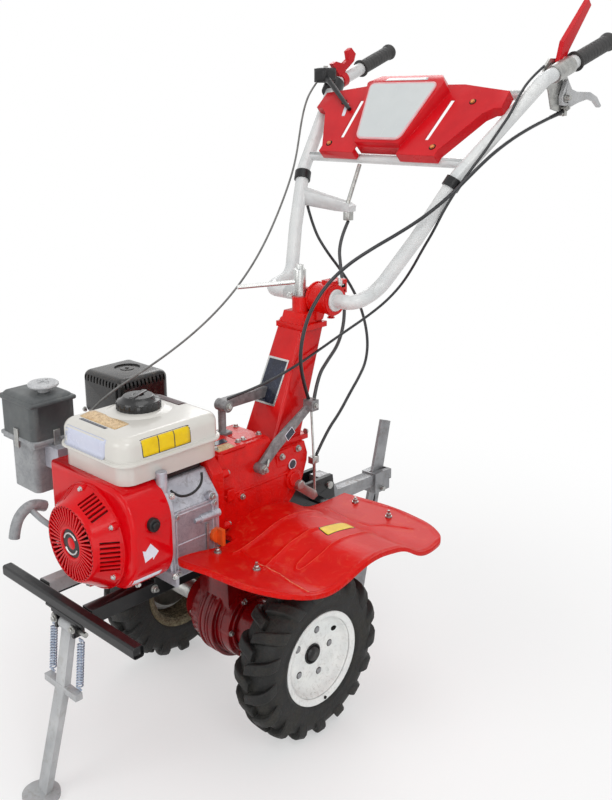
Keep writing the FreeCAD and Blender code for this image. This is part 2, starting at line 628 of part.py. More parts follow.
FRAME = Rotation(Vector(0, 1, 0), ALONG, Vector(ALONG.z, 0, -ALONG.x), "XYZ")
UP = LOW + ALONG * 200
bars = [rod("tube_dia", "140", (HEAD_X, "-70", "clamp_height"), "y")]
for at, reach in ((LOW, 238), (UP, 296)):
    bar = rod("cross_tube_dia", f"{2 * reach}", (f"{at.x}", f"-{reach}", f"{at.z}"), "y")
    bars.append(cut(bar, *both_tubes))
node("cross_tubes", group(*bars))


def slab(points, start, depth):
    """A prism in the handlebar frame: across, along the tubes, out of their plane."""
    thing = doc.addObject("Part::Extrusion", name_of("Slab"))
    thing.Base = outline([(f"{a}", f"{b}") for a, b in points])
    thing.DirMode = "Custom"
    thing.Dir = Vector(0, 0, 1)
    thing.Solid = True
    bind(thing, LengthFwd=depth)
    thing.Placement = Placement(LOW + FRAME.multVec(Vector(0, 0, start)), FRAME)
    return thing


def wedge(points, half):
    """A slab whose outline runs along and out of the handlebar plane, across by half."""
    thing = doc.addObject("Part::Extrusion", name_of("Wedge"))
    thing.Base = outline([(f"{a}", f"{b}") for a, b in points])
    thing.DirMode = "Custom"
    thing.Dir = Vector(0, 0, 1)
    thing.Solid = True
    bind(thing, LengthFwd=f"{2 * half}")
    turn = Rotation(ALONG, Vector(ALONG.z, 0, -ALONG.x), Vector(0, 1, 0), "XYZ")
    thing.Placement = Placement(LOW - Vector(0, half, 0), turn)
    return thing


def both(points):
    """Close a half outline across the middle plane."""
    return points + [(-a, b) for a, b in reversed(points)]


PANEL = both([(64, 6), (64, -13), (170, -13), (170, 4), (230, 112), (250, 127), (269, 128),
              (266, 178), (208, 188), (140, 200)])
INNER = both([(61, 9), (67, -9), (166, -9), (166, 6), (227, 115), (248, 131), (265, 132),
              (262, 174), (206, 184), (140, 196)])
CROWN = both([(64, 9), (112, 176), (84, 210)])
CROWN_IN = both([(60, 12), (108, 175), (81, 206)])
rise = [(9, 30), (9, 48), (180, 70), (204, 62), (210, 30)]
hollow = [(12, 20), (12, 44), (178, 66), (200, 58), (206, 20)]
SKIN = "panel_sheet + 3"
shell = fuse(slab(PANEL, 11, SKIN), common(slab(CROWN, 20, "80"), wedge(rise, 130)))
inside = fuse(slab(INNER, 8, SKIN), common(slab(CROWN_IN, 8, "80"), wedge(hollow, 130)))
slots = []
for side in (-1, 1):
    slots.append(slab([(side * 119, 32), (side * 129, 32), (side * 138, 152), (side * 127, 152)],
                      0, "80"))
shell = cut(shell, inside, *slots, *both_tubes)
node("control_panel", shell)
INSERT = both([(61, 18), (98, 168), (90, 176)])
node("panel_insert", cut(common(slab(INSERT, 20, "80"), wedge(
    [(14, 48.643), (178, 69.743), (178, 71.2), (14, 50.1)], 130)), shell))

# ---- controls ---------------------------------------------------------------------------
def between(a, b, dia):
    a, b = Vector(*a), Vector(*b)
    thing = doc.addObject("Part::Feature", name_of("Bar"))
    return placed(thing, Part.makeCylinder(dia / 2, (b - a).Length, a, b - a))


def ring(at, way, outer, inner, width):
    at, way = Vector(*at), Vector(*way).normalize()
    thing = doc.addObject("Part::Feature", name_of("Ring"))
    start = at - way * (width / 2)
    return placed(thing, Part.makeCylinder(outer / 2, width, start, way).cut(
        Part.makeCylinder(inner / 2, width, start, way)))


def on_tube(share, leg=5):
    """A point on the left tube's straight run, and the run's direction."""
    a, b = Vector(*LEFT_ROUTE[leg]), Vector(*LEFT_ROUTE[leg + 1])
    return a + (b - a) * share, (b - a).normalize()


clamp_at, clamp_way = on_tube(0.26)
left_clamp = ring(clamp_at, clamp_way, S["tube_dia"] + 8, S["tube_dia"], 64)
side_plate = prism("xz", [("-721", "1374"), ("-770", "1374"), ("-808", "1326"), ("-812", "1272"),
                          ("-770", "1258"), ("-741", "1264"), ("-725", "1304"), ("-700", "1328"),
                          ("-698", "1354")], "284", "5")
pivot = rod("12", "34", ("-776", "280", "1288"), "y")
ferrule = box("12", "12", "20", ("-800.7", "282", "1248"))
bracket = fuse(left_clamp, cut(side_plate, both_tubes[0]), pivot, ferrule)
node("lever_bracket_left", bracket)
red_left = cut(fuse(
    prism("xz", [("-738", "1366"), ("-756", "1358"), ("-776", "1392"), ("-862", "1490"),
                 ("-850", "1502"), ("-752", "1410")], "291", "12"),
    rod("18", "22", ("-750", "289", "1368"), "y")), bracket, both_tubes[0])
hand = prism("xz", [("-784", "1330"), ("-806", "1307"), ("-830", "1301"), ("-893", "1299"),
                    ("-926", "1288"), ("-950", "1266"), ("-942", "1262"), ("-918", "1277"),
                    ("-886", "1284"), ("-838", "1276"), ("-806", "1268"), ("-766", "1272"),
                    ("-764", "1292")], "290", "11")
node("lever_hand_left", cut(hand, bracket))
box_at, box_way = on_tube(0.95, 4)
throttle_lever = tube([(-622, -296, 1340), (-602, -258, 1330), (-553, -150, 1267)], 9)[0]
throttle_clamp = mirrored(ring(box_at, box_way, S["tube_dia"] + 20, S["tube_dia"], 34))
throttle = cut(fuse(throttle_clamp, box("42", "38", "34", ("-652", "-320", "1333")), throttle_lever),
               both_tubes[1])
node("throttle_box", throttle)
right_at, right_way = on_tube(0.12)
right_clamp = mirrored(ring(right_at, right_way, S["tube_dia"] + 8, S["tube_dia"], 20))
red_right = cut(fuse(right_clamp, prism(
    "xz", [("-654", "1378"), ("-668", "1384"), ("-698", "1378"), ("-717", "1391"),
           ("-712", "1410"), ("-727", "1419"), ("-745", "1404"), ("-738", "1385"),
           ("-704", "1360"), ("-690", "1338"), ("-680", "1350")], "-308", "13")),
    both_tubes[1], throttle)
node("red_levers", group(red_left, red_right))
shift_rod = fuse(rod("10", "46", ("-447", "-60", "1016")),
                 between((-447, -60, 1060), (-487, -60, 1143), 10))
node("shift_rod", fuse(cut(shift_rod, bars[1]), cut(rod("24", "24", ("-447", "-60", "1016")), arm)))

# ---- clutch arm and linkages ------------------------------------------------------------
lever = prism("xz", [("-12", "556"), ("-4", "542"), ("-22", "534"), ("-72", "572"),
                   ("-176", "640"), ("-168", "656"), ("-62", "598")], "66", "7")
node("clutch_arm", fuse(lever, rod("22", "22", ("-14", "gear_half_width", "548"), "y"),
                        box("22", "26", "24", ("-182", "62", "640"))))
crank = prism("xz", [("-124", "488"), ("-116", "470"), ("-172", "428"), ("-186", "434"),
                     ("-180", "448")], "74", "8")
node("shift_lever_rear", fuse(
    crank, rod("22", "14", ("-126", "gear_half_width + 10", "478"), "y"),
    rod("7", "92", ("-178", "78", "434")), box("20", "14", "15.5", ("-188", "69", "514")),
    between((-178, 76, 529), (-171, 76, 639.8), 5)))


def column_front(height):
    """The column's leaning front face at a height, as an expression."""
    return f"-80 - ({height} - gear_top + seat_drop) * tan(column_lean * 1 deg)"


node("front_linkage", fuse(
    prism("xz", [(column_front(662), "662"), ("4", "662"), ("4", "684"),
                 (column_front(684), "684")], "-30", "16"),
    rod("26", "32", ("4", "-32", "672"), "y"),
    box("14", "10", "58", ("-3", "-27", "gear_top")),
    box("30", "30", "8", ("-11", "-37", "gear_top"))))

# ---- fenders ----------------------------------------------------------------------------
CROWN_LINE = [(246, 447), (204, 442), (162, 435), (120, 430), (80, 437), (40, 449), (0, 457),
              (-42, 456), (-85, 444), (-125, 425), (-165, 410), (-210, 405), (-262, 404),
              (-330, 405)]
PLAN = [(92, 70), (92, 108), (236, 108), (241, 180), (230, 288), (186, 366), (96, 392),
        (-60, 392), (-190, 390), (-256, 376), (-292, 318), (-308, 210), (-290, 70)]


def band(depth):
    top = Part.BSplineCurve()
    top.interpolate([Vector(x, 0, z) for x, z in CROWN_LINE])
    top = top.toShape()
    low = top.translated(Vector(0, 0, -depth))
    a, b = CROWN_LINE[0], CROWN_LINE[-1]
    ends = [Part.makeLine(Vector(x, 0, z), Vector(x, 0, z - depth)) for x, z in (a, b)]
    face = Part.Face(Part.Wire(Part.__sortEdges__([top, ends[0], low, ends[1]])))
    return face.extrude(Vector(0, S["fender_outer"] + 40, 0))


def plan(inset):
    scale = S["fender_outer"] / 392
    line = route([(x, y * scale, 300) for x, y in PLAN])[0]
    closing = Part.makeLine(Vector(PLAN[-1][0], PLAN[-1][1] * scale, 300),
                            Vector(PLAN[0][0], PLAN[0][1] * scale, 300))
    wire = Part.Wire(Part.__sortEdges__(line.Edges + [closing]))
    if inset:
        wire = wire.makeOffset2D(-inset)
    return Part.Face(wire).extrude(Vector(0, 0, 240))


fender = doc.addObject("Part::Feature", "Fender")
sheet_part = band(S["fender_sheet"]).common(plan(0))
rim_zone = Part.makeBox(700, 400, 400, Vector(-400, 112, 200))
lip_part = band(S["fender_lip"]).common(plan(0).cut(plan(S["fender_sheet"]))).common(rim_zone)
placed(fender, sheet_part.fuse(lip_part).removeSplitter())
node("fender_left", fender)
node("fender_right", mirrored(fender))
front_stay = prism("xy", [("gear_front + 2", "bell_half_width"),
                          (f"{ENGINE_BACK} - 1", "bell_half_width"),
                          (f"{ENGINE_BACK} - 1", "engine_left + 8"),
                          (f"{ENGINE_BACK} + 24", "engine_left + 8"),
                          (f"{ENGINE_BACK} + 24", "244"), ("gear_front + 2", "244")], "422", "7")
front_stay = cut(front_stay, fender)
rear_stay = cut(box("28", "228", "6", ("-240", "hitch_gap / 2 + hitch_plate", "397")), fender)
node("fender_stays", group(front_stay, mirrored(front_stay), rear_stay, mirrored(rear_stay)))

# ---- hitch and depth blade ----------------------------------------------------------------
SIDE = [("-64", "424"), ("-112", "438"), ("-176", "474"), ("-200", "440"), ("-292", "440"),
        ("-300", "380"), ("-120", "368"), ("-64", "368")]
plates = [prism("xz", SIDE, start, "hitch_plate")
          for start in ("hitch_gap / 2", "-hitch_gap / 2 - hitch_plate")]
web = box("40", "hitch_gap", "10", ("-120", "-hitch_gap / 2", "371"))
WIDE = "hitch_gap + 2 * hitch_plate"
implement_hole = rod("implement_pin_dia", f"{WIDE} + 20",
                     ("-152", "-hitch_gap / 2 - hitch_plate - 10", "386"), "y")
HITCH_PIN = ("-278", "-hitch_gap / 2 - hitch_plate - 6", "418")
pin_hole = rod("18 + running_gap", f"{WIDE} + 12", HITCH_PIN, "y")
node("hitch_bracket", cut(fuse(*plates, web), implement_hole, pin_hole, case))
hitch_pin = rod("18", f"{WIDE} + 12", HITCH_PIN, "y")
tongue = prism("xz", [("-262", "436"), ("-296", "436"), ("-330", "384"), ("-536", "378"),
                      ("-536", "352"), ("-318", "352"), ("-262", "400")], "-15", "30")
socket = box("56", "44", "52", ("-520", "-22", "332"))
slot = prism("xz", [("-548", "512"), ("-504", "526"), ("-394", "80"), ("-448", "60")],
             "-blade_sheet / 2 - seat_gap", "blade_sheet + 2 * seat_gap")
BLADE_PIN = ("-487", "-32", "342")
blade_hole = rod("12 + running_gap", "64", BLADE_PIN, "y")
node("hitch_tongue", cut(fuse(tongue, socket), slot, pin_hole, blade_hole))
blade = prism("xz", [("-543", "502"), ("-508", "514"), ("-404", "104"), ("-446", "70")],
              "-blade_sheet / 2", "blade_sheet")
node("depth_blade", cut(blade, blade_hole))
node("hitch_pins", group(hitch_pin, rod("12", "64", BLADE_PIN, "y")))

# ---- control cables ---------------------------------------------------------------------
CABLES = {
    "cable_clutch": (8, [
        (-788, 288, 1257), (-722.3, 282.9, 1240.4), (-656, 279.3, 1222.7),
        (-590.8, 276.3, 1201.1), (-527.7, 273, 1174.2), (-467.9, 268.4, 1140.6),
        (-414.9, 254.5, 1099.6), (-381.8, 215.1, 1055.3), (-357.2, 164.3, 1016.4),
        (-313.8, 123.4, 982.9), (-258.6, 98.7, 950.6), (-202.8, 87.6, 912.3), (-157.4, 82.9, 861.4),
        (-136.4, 77.6, 796.7), (-141.1, 72.6, 728.6), (-168, 70, 665.8)]),
    "cable_reverse": (6, [
        (-694.3, 290, 1357.4), (-649.8, 283.5, 1330.9), (-609.3, 284.9, 1298.9),
        (-575.7, 286, 1259.4), (-541.7, 278, 1222), (-509.9, 268.5, 1182.7),
        (-476.9, 256.7, 1145.3), (-448.3, 242.4, 1105.2), (-427.9, 225.7, 1061.5),
        (-422.3, 203.9, 1014.5), (-420.7, 177, 971.6), (-422.4, 150.3, 927.8),
        (-418.3, 122.2, 885.1), (-399.3, 94.5, 846.7), (-364.7, 71.9, 816.7), (-321.4, 57.1, 793.9),
        (-273.7, 51, 776), (-224.5, 51.4, 761.5), (-174.9, 53.8, 748.8), (-125.1, 53.9, 736.4),
        (-76.2, 47, 722.6), (-31.8, 27.7, 706.4), (3, -5, 688.2)]),
    "cable_throttle": (5, [
        (-611, -311.8, 1332.8), (-575.1, -303.3, 1308.5), (-545.8, -293.6, 1275.1),
        (-522.8, -283.5, 1237.2), (-502.7, -273.2, 1197.6), (-482.1, -262.6, 1158.4),
        (-457.5, -251.7, 1121.6), (-429.8, -241.7, 1087), (-401.6, -233.8, 1052),
        (-373.5, -228, 1016.7), (-344.6, -223.2, 981.8), (-313.8, -218.6, 948.6),
        (-280.6, -213.7, 917.8), (-245.1, -208.4, 889.7), (-207.9, -203, 864.1),
        (-169.1, -197.8, 840.8), (-129, -192.9, 819.7), (-88, -188.6, 800.4),
        (-46.2, -184.9, 782.7), (-3.8, -182.2, 766.3), (39.1, -180.6, 750.9), (82.2, -180.2, 736.4),
        (125.5, -181.3, 722.2), (168, -184.5, 706.1), (207.1, -190.8, 683.8),
        (237.8, -200.9, 652.1), (256, -214, 612.6)]),
    "cable_shift": (7, [
        (-440, -186, 1042), (-445.2, -169.6, 982.6), (-452, -134, 932.8), (-479.2, -107.9, 882.8),
        (-493.9, -76.8, 830.8), (-495.9, -48.8, 774.9), (-484.5, -25.1, 718.4), (-446.1, 1, 678.1),
        (-392.6, 24.6, 655.9), (-337.9, 42.7, 631.6), (-285.8, 57.3, 600.1), (-230.5, 68.6, 573.2),
        (-188.3, 75, 530)]),
    "cable_gear": (8, [
        (-447, -60, 1013.1), (-404.7, -53.5, 967.9), (-391, -32.7, 906.4), (-372.4, -5.9, 848.8),
        (-340.8, 22.2, 797.9), (-293.2, 45.8, 758.5), (-240, 61, 735), (-196, 73, 711),
        (-177, 79, 665.8)]),
}
cords = []
for label, (dia, points) in CABLES.items():
    cord, wire, radii = tube(points, dia)
    expected = math.pi * dia * dia / 4 * wire.Length
    print(f"{label}: radii {min(radii):.0f} to {max(radii):.0f},"
          f" volume {cord.Shape.Volume / expected:.4f} of section times length")
    node(label, cord)
    cords.append(cord)

straps = [ring(*on_tube(share, 3), S["tube_dia"] + 8, S["tube_dia"], 22) for share in (0.9, 0.86)]
node("cable_straps", group(cut(straps[0], both_tubes[0], *cords), cut(mirrored(straps[1]), both_tubes[1],
                                                                      *cords)))

# ---- checks and files -----------------------------------------------------------------
doc.recompute()
for thing in doc.Objects:
    if "Invalid" in thing.State or "Error" in thing.State:
        raise SystemExit(f"{thing.Name} ({thing.Label}) failed: {thing.State}")
os.makedirs("parts", exist_ok=True)
for label, thing in NODES:
    shape = thing.Shape
    if shape.isNull() or not shape.isValid() or not shape.Solids:
        raise SystemExit(f"{label} has no valid shape")
    shape.exportStep(f"parts/{label}.step")
    box_ = shape.BoundBox
    print(f"{label:24s} {len(shape.Solids)} solids {shape.Volume / 1000:9.1f} cm3"
          f"  x {box_.XMin:.0f}..{box_.XMax:.0f}  y {box_.YMin:.0f}..{box_.YMax:.0f}"
          f"  z {box_.ZMin:.0f}..{box_.ZMax:.0f}")
print(len(NODES), "nodes")
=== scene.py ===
import math
import bmesh
import bpy
from mathutils import Matrix, Vector
from mathutils.bvhtree import BVHTree


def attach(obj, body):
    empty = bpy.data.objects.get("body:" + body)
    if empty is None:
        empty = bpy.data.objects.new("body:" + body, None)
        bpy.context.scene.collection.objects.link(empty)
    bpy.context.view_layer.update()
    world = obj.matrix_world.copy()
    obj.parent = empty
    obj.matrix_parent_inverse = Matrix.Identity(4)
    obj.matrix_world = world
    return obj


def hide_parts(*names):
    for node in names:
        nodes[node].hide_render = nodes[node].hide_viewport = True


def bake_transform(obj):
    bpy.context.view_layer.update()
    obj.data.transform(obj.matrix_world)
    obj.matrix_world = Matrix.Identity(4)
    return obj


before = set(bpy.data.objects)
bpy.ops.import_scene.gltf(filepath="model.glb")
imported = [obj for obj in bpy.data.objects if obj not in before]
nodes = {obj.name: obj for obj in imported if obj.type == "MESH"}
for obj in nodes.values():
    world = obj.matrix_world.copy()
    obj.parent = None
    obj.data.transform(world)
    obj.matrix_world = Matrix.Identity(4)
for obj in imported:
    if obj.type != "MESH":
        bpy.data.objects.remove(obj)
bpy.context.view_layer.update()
scene = bpy.context.scene
mm = 0.001
white = (1, 1, 1, 1)
sides = {1: "Left", -1: "Right"}
print("frame loaded,", len(nodes), "nodes")


class Wire:  # one socket, usable in a Python expression
    def __init__(self, web, socket):
        self.web = web
        self.socket = socket

    def join(self, operation, other, clamped=False):
        settings = {"operation": operation, "use_clamp": clamped}
        return self.web.node("Math", settings, {0: self, 1: other})[0]

    def __add__(self, other):
        return self.join("ADD", other)

    def __sub__(self, other):
        return self.join("SUBTRACT", other)

    def __mul__(self, other):
        return self.join("MULTIPLY", other)

    __radd__ = __add__

    def above(self, level, soft):  # 0 below the level, 1 above it, with a soft edge
        return self.web.node("MapRange", {}, {0: self, 1: level - soft, 2: level + soft})[0]


class Web:  # a node tree
    def __init__(self, tree):
        self.tree = tree

    def feed(self, target, value):
        if isinstance(value, Wire):
            self.tree.links.new(value.socket, target)
        else:
            target.default_value = value

    def node(self, kind, settings=None, sockets=None):
        made = self.tree.nodes.new("ShaderNode" + kind)
        for key, value in (settings or {}).items():
            setattr(made, key, value)
        for key, value in (sockets or {}).items():
            self.feed(made.inputs[key], value)
        return [Wire(self, socket) for socket in made.outputs]

    def seenRays(self):  # 1 for a ray from the camera, from a mirror or through glass
        rays = self.node("LightPath")
        return rays[0].join("ADD", rays[3], True).join("ADD", rays[6], True)

    def blend(self, share, first, second, output):
        mixed = self.node("MixShader", {}, {0: share, 1: first, 2: second})[0]
        self.feed(self.tree.nodes[output].inputs["Surface"], mixed)


class Paint(Web):
    def __init__(self, name, metallic=0.0, coat=0.0, specular=0.5):
        self.material = bpy.data.materials.new(name)
        self.material.use_nodes = True
        super().__init__(self.material.node_tree)
        self.shader = self.tree.nodes["Principled BSDF"]
        self.give({"Metallic": metallic, "Coat Weight": coat, "Specular IOR Level": specular})
        self.place = self.node("TexCoord")[3]

    def give(self, sockets):
        for key, value in sockets.items():
            self.feed(self.shader.inputs[key], value)

    def noise(self, size, detail=3.0, rough=0.55, warp=0.0):
        return self.node("TexNoise", {}, {"Vector": self.place, "Scale": 1 / (size * mm), "Detail":
                                          detail, "Roughness": rough, "Distortion": warp})[0]

    def mix(self, share, first, second):
        return self.node("Mix", {"data_type": "RGBA"}, {0: share, 6: first, 7: second})[2]

    def bump(self, height, depth, strength=1.0, under=None):
        sockets = {"Height": height, "Distance": depth * mm, "Strength": strength}
        if under:
            sockets["Normal"] = under
        return self.node("Bump", {}, sockets)[0]

    def finish(self, colour, roughness, normal=None):
        self.give({"Base Color": colour, "Roughness": roughness})
        if normal:
            self.give({"Normal": normal})
        return self.material


def tone(*shown):  # a colour as a screen shows it, 0 to 255
    parts = [value / 255 for value in shown]
    return (*(p / 12.92 if p <= 0.04045 else ((p + 0.055) / 1.055) ** 2.4 for p in parts), 1.0)


finishes = {
    # name: material slot, colour, second colour, dirt colour, dirt share, roughness, metallic,
    #       coat, specular, cloud size, grain size, grain depth, edge radius; sizes in mm
    "fenderRed": ("red_sheet", (214, 18, 8), (200, 10, 8), (222, 104, 70),
        0.07, 0.34, 0, 0.03, 0.1, 90, 30, 0.5, 1.2),
    "shroudRed": ("red_sheet", (216, 0, 12), (200, 0, 12), (196, 60, 50),
        0.02, 0.2, 0, 0.14, 0.16, 60, 24, 0.3, 1.2),
    "panelRed": ("red_sheet", (206, 18, 28), (186, 10, 24), (200, 80, 76),
        0.03, 0.3, 0, 0.02, 0.22, 70, 4, 0.06, 1.5),
    "castRed": ("red_cast", (224, 18, 12), (196, 10, 8), (190, 70, 46),
        0.05, 0.26, 0, 0.1, 0.2, 30, 5, 0.42, 2),
    "columnRed": ("red_cast", (216, 18, 18), (188, 8, 12), (196, 74, 60),
        0.03, 0.22, 0, 0.1, 0.26, 60, 14, 0.22, 1.5),
    "driveRed": ("red_cast", (132, 4, 10), (96, 2, 8), (90, 40, 32),
        0.06, 0.2, 0, 0.15, 0.35, 40, 7, 0.22, 2),
    "zinc": ("zinc_steel", (186, 186, 182), (150, 151, 150), (120, 108, 88),
        0.14, 0.32, 0.9, 0, 0.5, 15, 2, 0.05, 0.6),
    "brightZinc": ("zinc_steel", (212, 213, 210), (184, 186, 186), (150, 140, 118),
        0.08, 0.26, 0.85, 0, 0.5, 12, 2, 0.04, 0.6),
    "blueZinc": ("zinc_steel", (204, 214, 230), (150, 164, 186), (90, 84, 72),
        0.2, 0.3, 0.5, 0, 0.5, 10, 2, 0.04, 0.4),
    "alloy": ("engine_alloy", (196, 196, 204), (166, 167, 176), (112, 106, 104),
        0.14, 0.38, 0.5, 0, 0.5, 30, 1.6, 0.14, 1.5),
    "blackSteel": ("black_steel", (24, 24, 26), (15, 15, 17), (70, 66, 60),
        0.06, 0.3, 0, 0.08, 0.35, 50, 4, 0.08, 1.4),
    "blackPlastic": ("black_plastic", (26, 27, 29), (18, 18, 20), (70, 68, 64),
        0.06, 0.36, 0, 0, 0.35, 30, 1.2, 0.08, 1.2),
    "muffleBlack": ("black_steel", (20, 20, 21), (12, 12, 13), (96, 82, 66),
        0.12, 0.22, 0, 0.2, 0.4, 30, 2, 0.1, 1.2),
    "cleanerGrey": ("black_plastic", (88, 92, 92), (70, 73, 75), (116, 116, 114),
        0.12, 0.42, 0, 0, 0.4, 50, 1.6, 0.1, 2),
    "bowlGrey": ("black_plastic", (158, 160, 162), (124, 127, 130), (96, 96, 96),
        0.16, 0.4, 0, 0, 0.4, 35, 2, 0.1, 2),
    "paleGrey": ("grey_steel", (190, 191, 192), (160, 162, 164), (130, 122, 108),
        0.1, 0.38, 0.1, 0.05, 0.4, 60, 3, 0.1, 1.2),
    "steelGrey": ("grey_steel", (160, 161, 163), (126, 127, 130), (104, 92, 78),
        0.14, 0.38, 0.6, 0, 0.5, 50, 3, 0.1, 1),
    "tankCream": ("tank_white", (216, 213, 206), (206, 204, 198), (196, 192, 178),
        0.03, 0.18, 0, 0.2, 0.4, 120, 50, 0.3, 1.5),
    "tubeWhite": ("tube_white", (220, 221, 220), (203, 206, 207), (150, 146, 138),
        0.07, 0.26, 0, 0.15, 0.4, 60, 10, 0.08, 1.2),
    "rimWhite": ("rim_paint", (243, 245, 242), (228, 232, 231), (120, 112, 98),
        0.1, 0.32, 0, 0.05, 0.4, 30, 8, 0.15, 1.4),
    "rimGrimy": ("rim_paint", (146, 138, 110), (104, 94, 70), (66, 58, 42),
        0.4, 0.5, 0, 0, 0.3, 20, 4, 0.2, 1.4),
    "insertGrey": ("plate_grey", (204, 208, 208), (196, 201, 202), (186, 188, 186),
        0.04, 0.24, 0, 0.2, 0.4, 100, 20, 0.04, 0.8),
    "whiteLabel": ("plate_grey", (230, 230, 238), (212, 214, 228), (190, 188, 196),
        0.1, 0.3, 0, 0, 0.4, 20, 10, 0.02, 0),
    "yellowLabel": ("plate_grey", (240, 206, 10), (226, 188, 6), (190, 160, 60),
        0.08, 0.34, 0, 0, 0.3, 20, 10, 0.02, 0),
    "creamLabel": ("plate_grey", (226, 198, 150), (204, 168, 120), (120, 84, 60),
        0.2, 0.34, 0, 0, 0.4, 12, 10, 0.02, 0),
    "darkLabel": ("plate_grey", (24, 26, 36), (40, 48, 70), (90, 92, 104),
        0.08, 0.25, 0.1, 0.2, 0.4, 30, 10, 0.02, 0),
    "orangePlastic": ("orange_plastic", (240, 104, 40), (222, 84, 26), (180, 90, 60),
        0.08, 0.38, 0, 0, 0.35, 10, 2, 0.05, 1),
    "paleKnob": ("plate_grey", (206, 207, 208), (178, 180, 182), (120, 120, 122),
        0.14, 0.35, 0, 0, 0.4, 20, 4, 0.08, 1),
    # ridgeRed: a lighter red for thin lines along the fender ridges, a painted highlight
    "ridgeRed": ("red_sheet", (228, 66, 46), (214, 34, 24), (226, 120, 84),
        0.12, 0.3, 0, 0.05, 0.2, 20, 4, 0.05, 0),
    "capBlack": ("black_plastic", (15, 15, 16), (24, 24, 25), (110, 108, 108),
        0.05, 0.18, 0, 0.1, 0.5, 30, 3, 0.08, 1),
    # alloyShade: a darker alloy, painted shade for the recess behind the block's cover ribs
    "alloyShade": ("engine_alloy", (168, 168, 176), (134, 134, 143), (92, 88, 88),
        0.16, 0.42, 0.4, 0, 0.5, 30, 2, 0.14, 1.5),
    "brassZinc": ("zinc_steel", (222, 150, 84), (186, 104, 60), (150, 70, 50),
        0.1, 0.34, 0.5, 0, 0.5, 6, 2, 0.04, 0.5),
    "castGrey": ("zinc_steel", (152, 151, 152), (108, 107, 109), (64, 60, 54),
        0.14, 0.45, 0.4, 0, 0.4, 12, 3, 0.25, 1.2),
    "plateBlue": ("plate_grey", (208, 212, 228), (196, 200, 220), (180, 182, 192),
        0.05, 0.26, 0, 0.1, 0.4, 50, 20, 0.03, 0.6),
    "pinkEdge": ("plate_grey", (226, 188, 190), (214, 160, 164), (200, 120, 124),
        0.08, 0.3, 0, 0, 0.3, 30, 10, 0.03, 0.6),
    "maroonLabel": ("plate_grey", (66, 18, 26), (34, 14, 20), (110, 80, 76),
        0.08, 0.3, 0, 0.05, 0.3, 20, 10, 0.02, 0),
    # wornRed: a pale red for the line along the fender crease, a painted highlight
    "wornRed": ("red_sheet", (226, 128, 88), (208, 56, 38), (220, 170, 130),
        0.2, 0.35, 0, 0, 0.3, 20, 4, 0.05, 0),
    # darkHole: near-black fill painted as the shade inside holes, windows and recesses
    "darkHole": ("black_plastic", (16, 12, 12), (8, 6, 6), (30, 26, 24),
        0.1, 0.7, 0, 0, 0.2, 20, 10, 0, 0),
}
softFinishes = {
    # name: material slot, colour, second colour, roughness, cloud size and level, grain size,
    #       grain depth, strength
    "gripRubber": ("black_plastic", (38, 38, 39), (54, 53, 52), 0.6, 12, 0.5, 1.6, 0.3, 0.8),
    "sheathBlack": ("cable_black", (34, 36, 40), (22, 23, 26), 0.34, 20, 0.52, 2, 0.1, 0.6),
    "sheathGrey": ("cable_black", (120, 120, 118), (86, 86, 84), 0.4, 20, 0.52, 2, 0.1, 0.6),
    "sheathDark": ("cable_black", (62, 62, 64), (44, 44, 46), 0.4, 20, 0.52, 2, 0.1, 0.6),
}
wear = {"smearSize": 0.4, "level": 0.62, "spread": 0.3, "side": 0.35, "top": 0.65, "dull": 0.3,
        "uneven": 0.12}


def makeFinish(name):
    (slot, colour, second, dirt, share, roughness, metallic, coat, specular, cloudSize, grainSize,
     grainDepth, edge) = finishes[name]
    paint = Paint(name, metallic, coat, specular)
    cloud = paint.noise(cloudSize, 4.0)
    grain = paint.noise(grainSize)
    smear = paint.noise(cloudSize * wear["smearSize"], 6.0, 0.7, 1.5)
    smear = smear.above(wear["level"] - share * wear["spread"], 0.07)
    up = paint.node("SeparateXYZ", {}, {0: paint.node("NewGeometry")[1]})[2].above(0.25, 0.7)
    grime = smear * (wear["side"] + up * wear["top"]) * min(1.0, share * 4)
    base = paint.mix(cloud.above(0.5, 0.22), tone(*colour), tone(*second))
    base = paint.mix(grime, base, tone(*dirt))
    normal = paint.node("Bevel", {"samples": 4}, {"Radius": edge * mm})[0] if edge else None
    if grainDepth:
        normal = paint.bump(grain, grainDepth * 2, 1.0, normal)
    dull = grime * wear["dull"] + (cloud - 0.5) * wear["uneven"]
    return paint.finish(base, roughness + dull, normal)


def makeSoftFinish(name):
    slot, first, second, rough, size, level, grain, depth, strength = softFinishes[name]
    paint = Paint(name)
    base = paint.mix(paint.noise(size, 4.0).above(level, 0.2), tone(*first), tone(*second))
    return paint.finish(base, rough, paint.bump(paint.noise(grain), depth, strength))


def makeRubber(name):
    paint = Paint(name, specular=0.35)
    cloud = paint.noise(30, 5.0)
    mud = paint.noise(45, 6.0, 0.7, 1.0).above(0.56, 0.09)
    fine = paint.noise(3.5, 4.0, 0.7)
    base = paint.mix(cloud.above(0.5, 0.2), tone(17, 18, 18), tone(31, 31, 30))
    base = paint.mix(mud * fine.above(0.45, 0.2) * 0.5, base, tone(80, 78, 70))
    height = fine * 0.4 + paint.noise(12, 5.0) * 0.6
    return paint.finish(base, 0.54 + mud * 0.25, paint.bump(height, 2.6))


def makeMesh(name):  # dark perforated plate behind the louvres
    paint = Paint(name)
    dots = paint.node("TexVoronoi", {}, {"Vector": paint.place, "Scale": 1 / (4 * mm)})[0]
    return paint.finish(paint.mix(dots.above(0.4, 0.1), tone(12, 10, 10), tone(58, 18, 16)), 0.6)


makers = {"tyreRubber": makeRubber, "darkMesh": makeMesh}
makers.update((name, makeSoftFinish) for name in softFinishes)
paints = {}


def paintOf(name):
    if name not in paints:
        paints[name] = makers.get(name, makeFinish)(name)
    return paints[name]


def soften(piece, width=1.0, segments=2, angle=40):
    bevel = piece.modifiers.new("soft edges", "BEVEL")
    bevel.width = width * mm
    bevel.segments = segments
    bevel.limit_method = "ANGLE"
    bevel.angle_limit = math.radians(angle)
    bevel.use_clamp_overlap = True


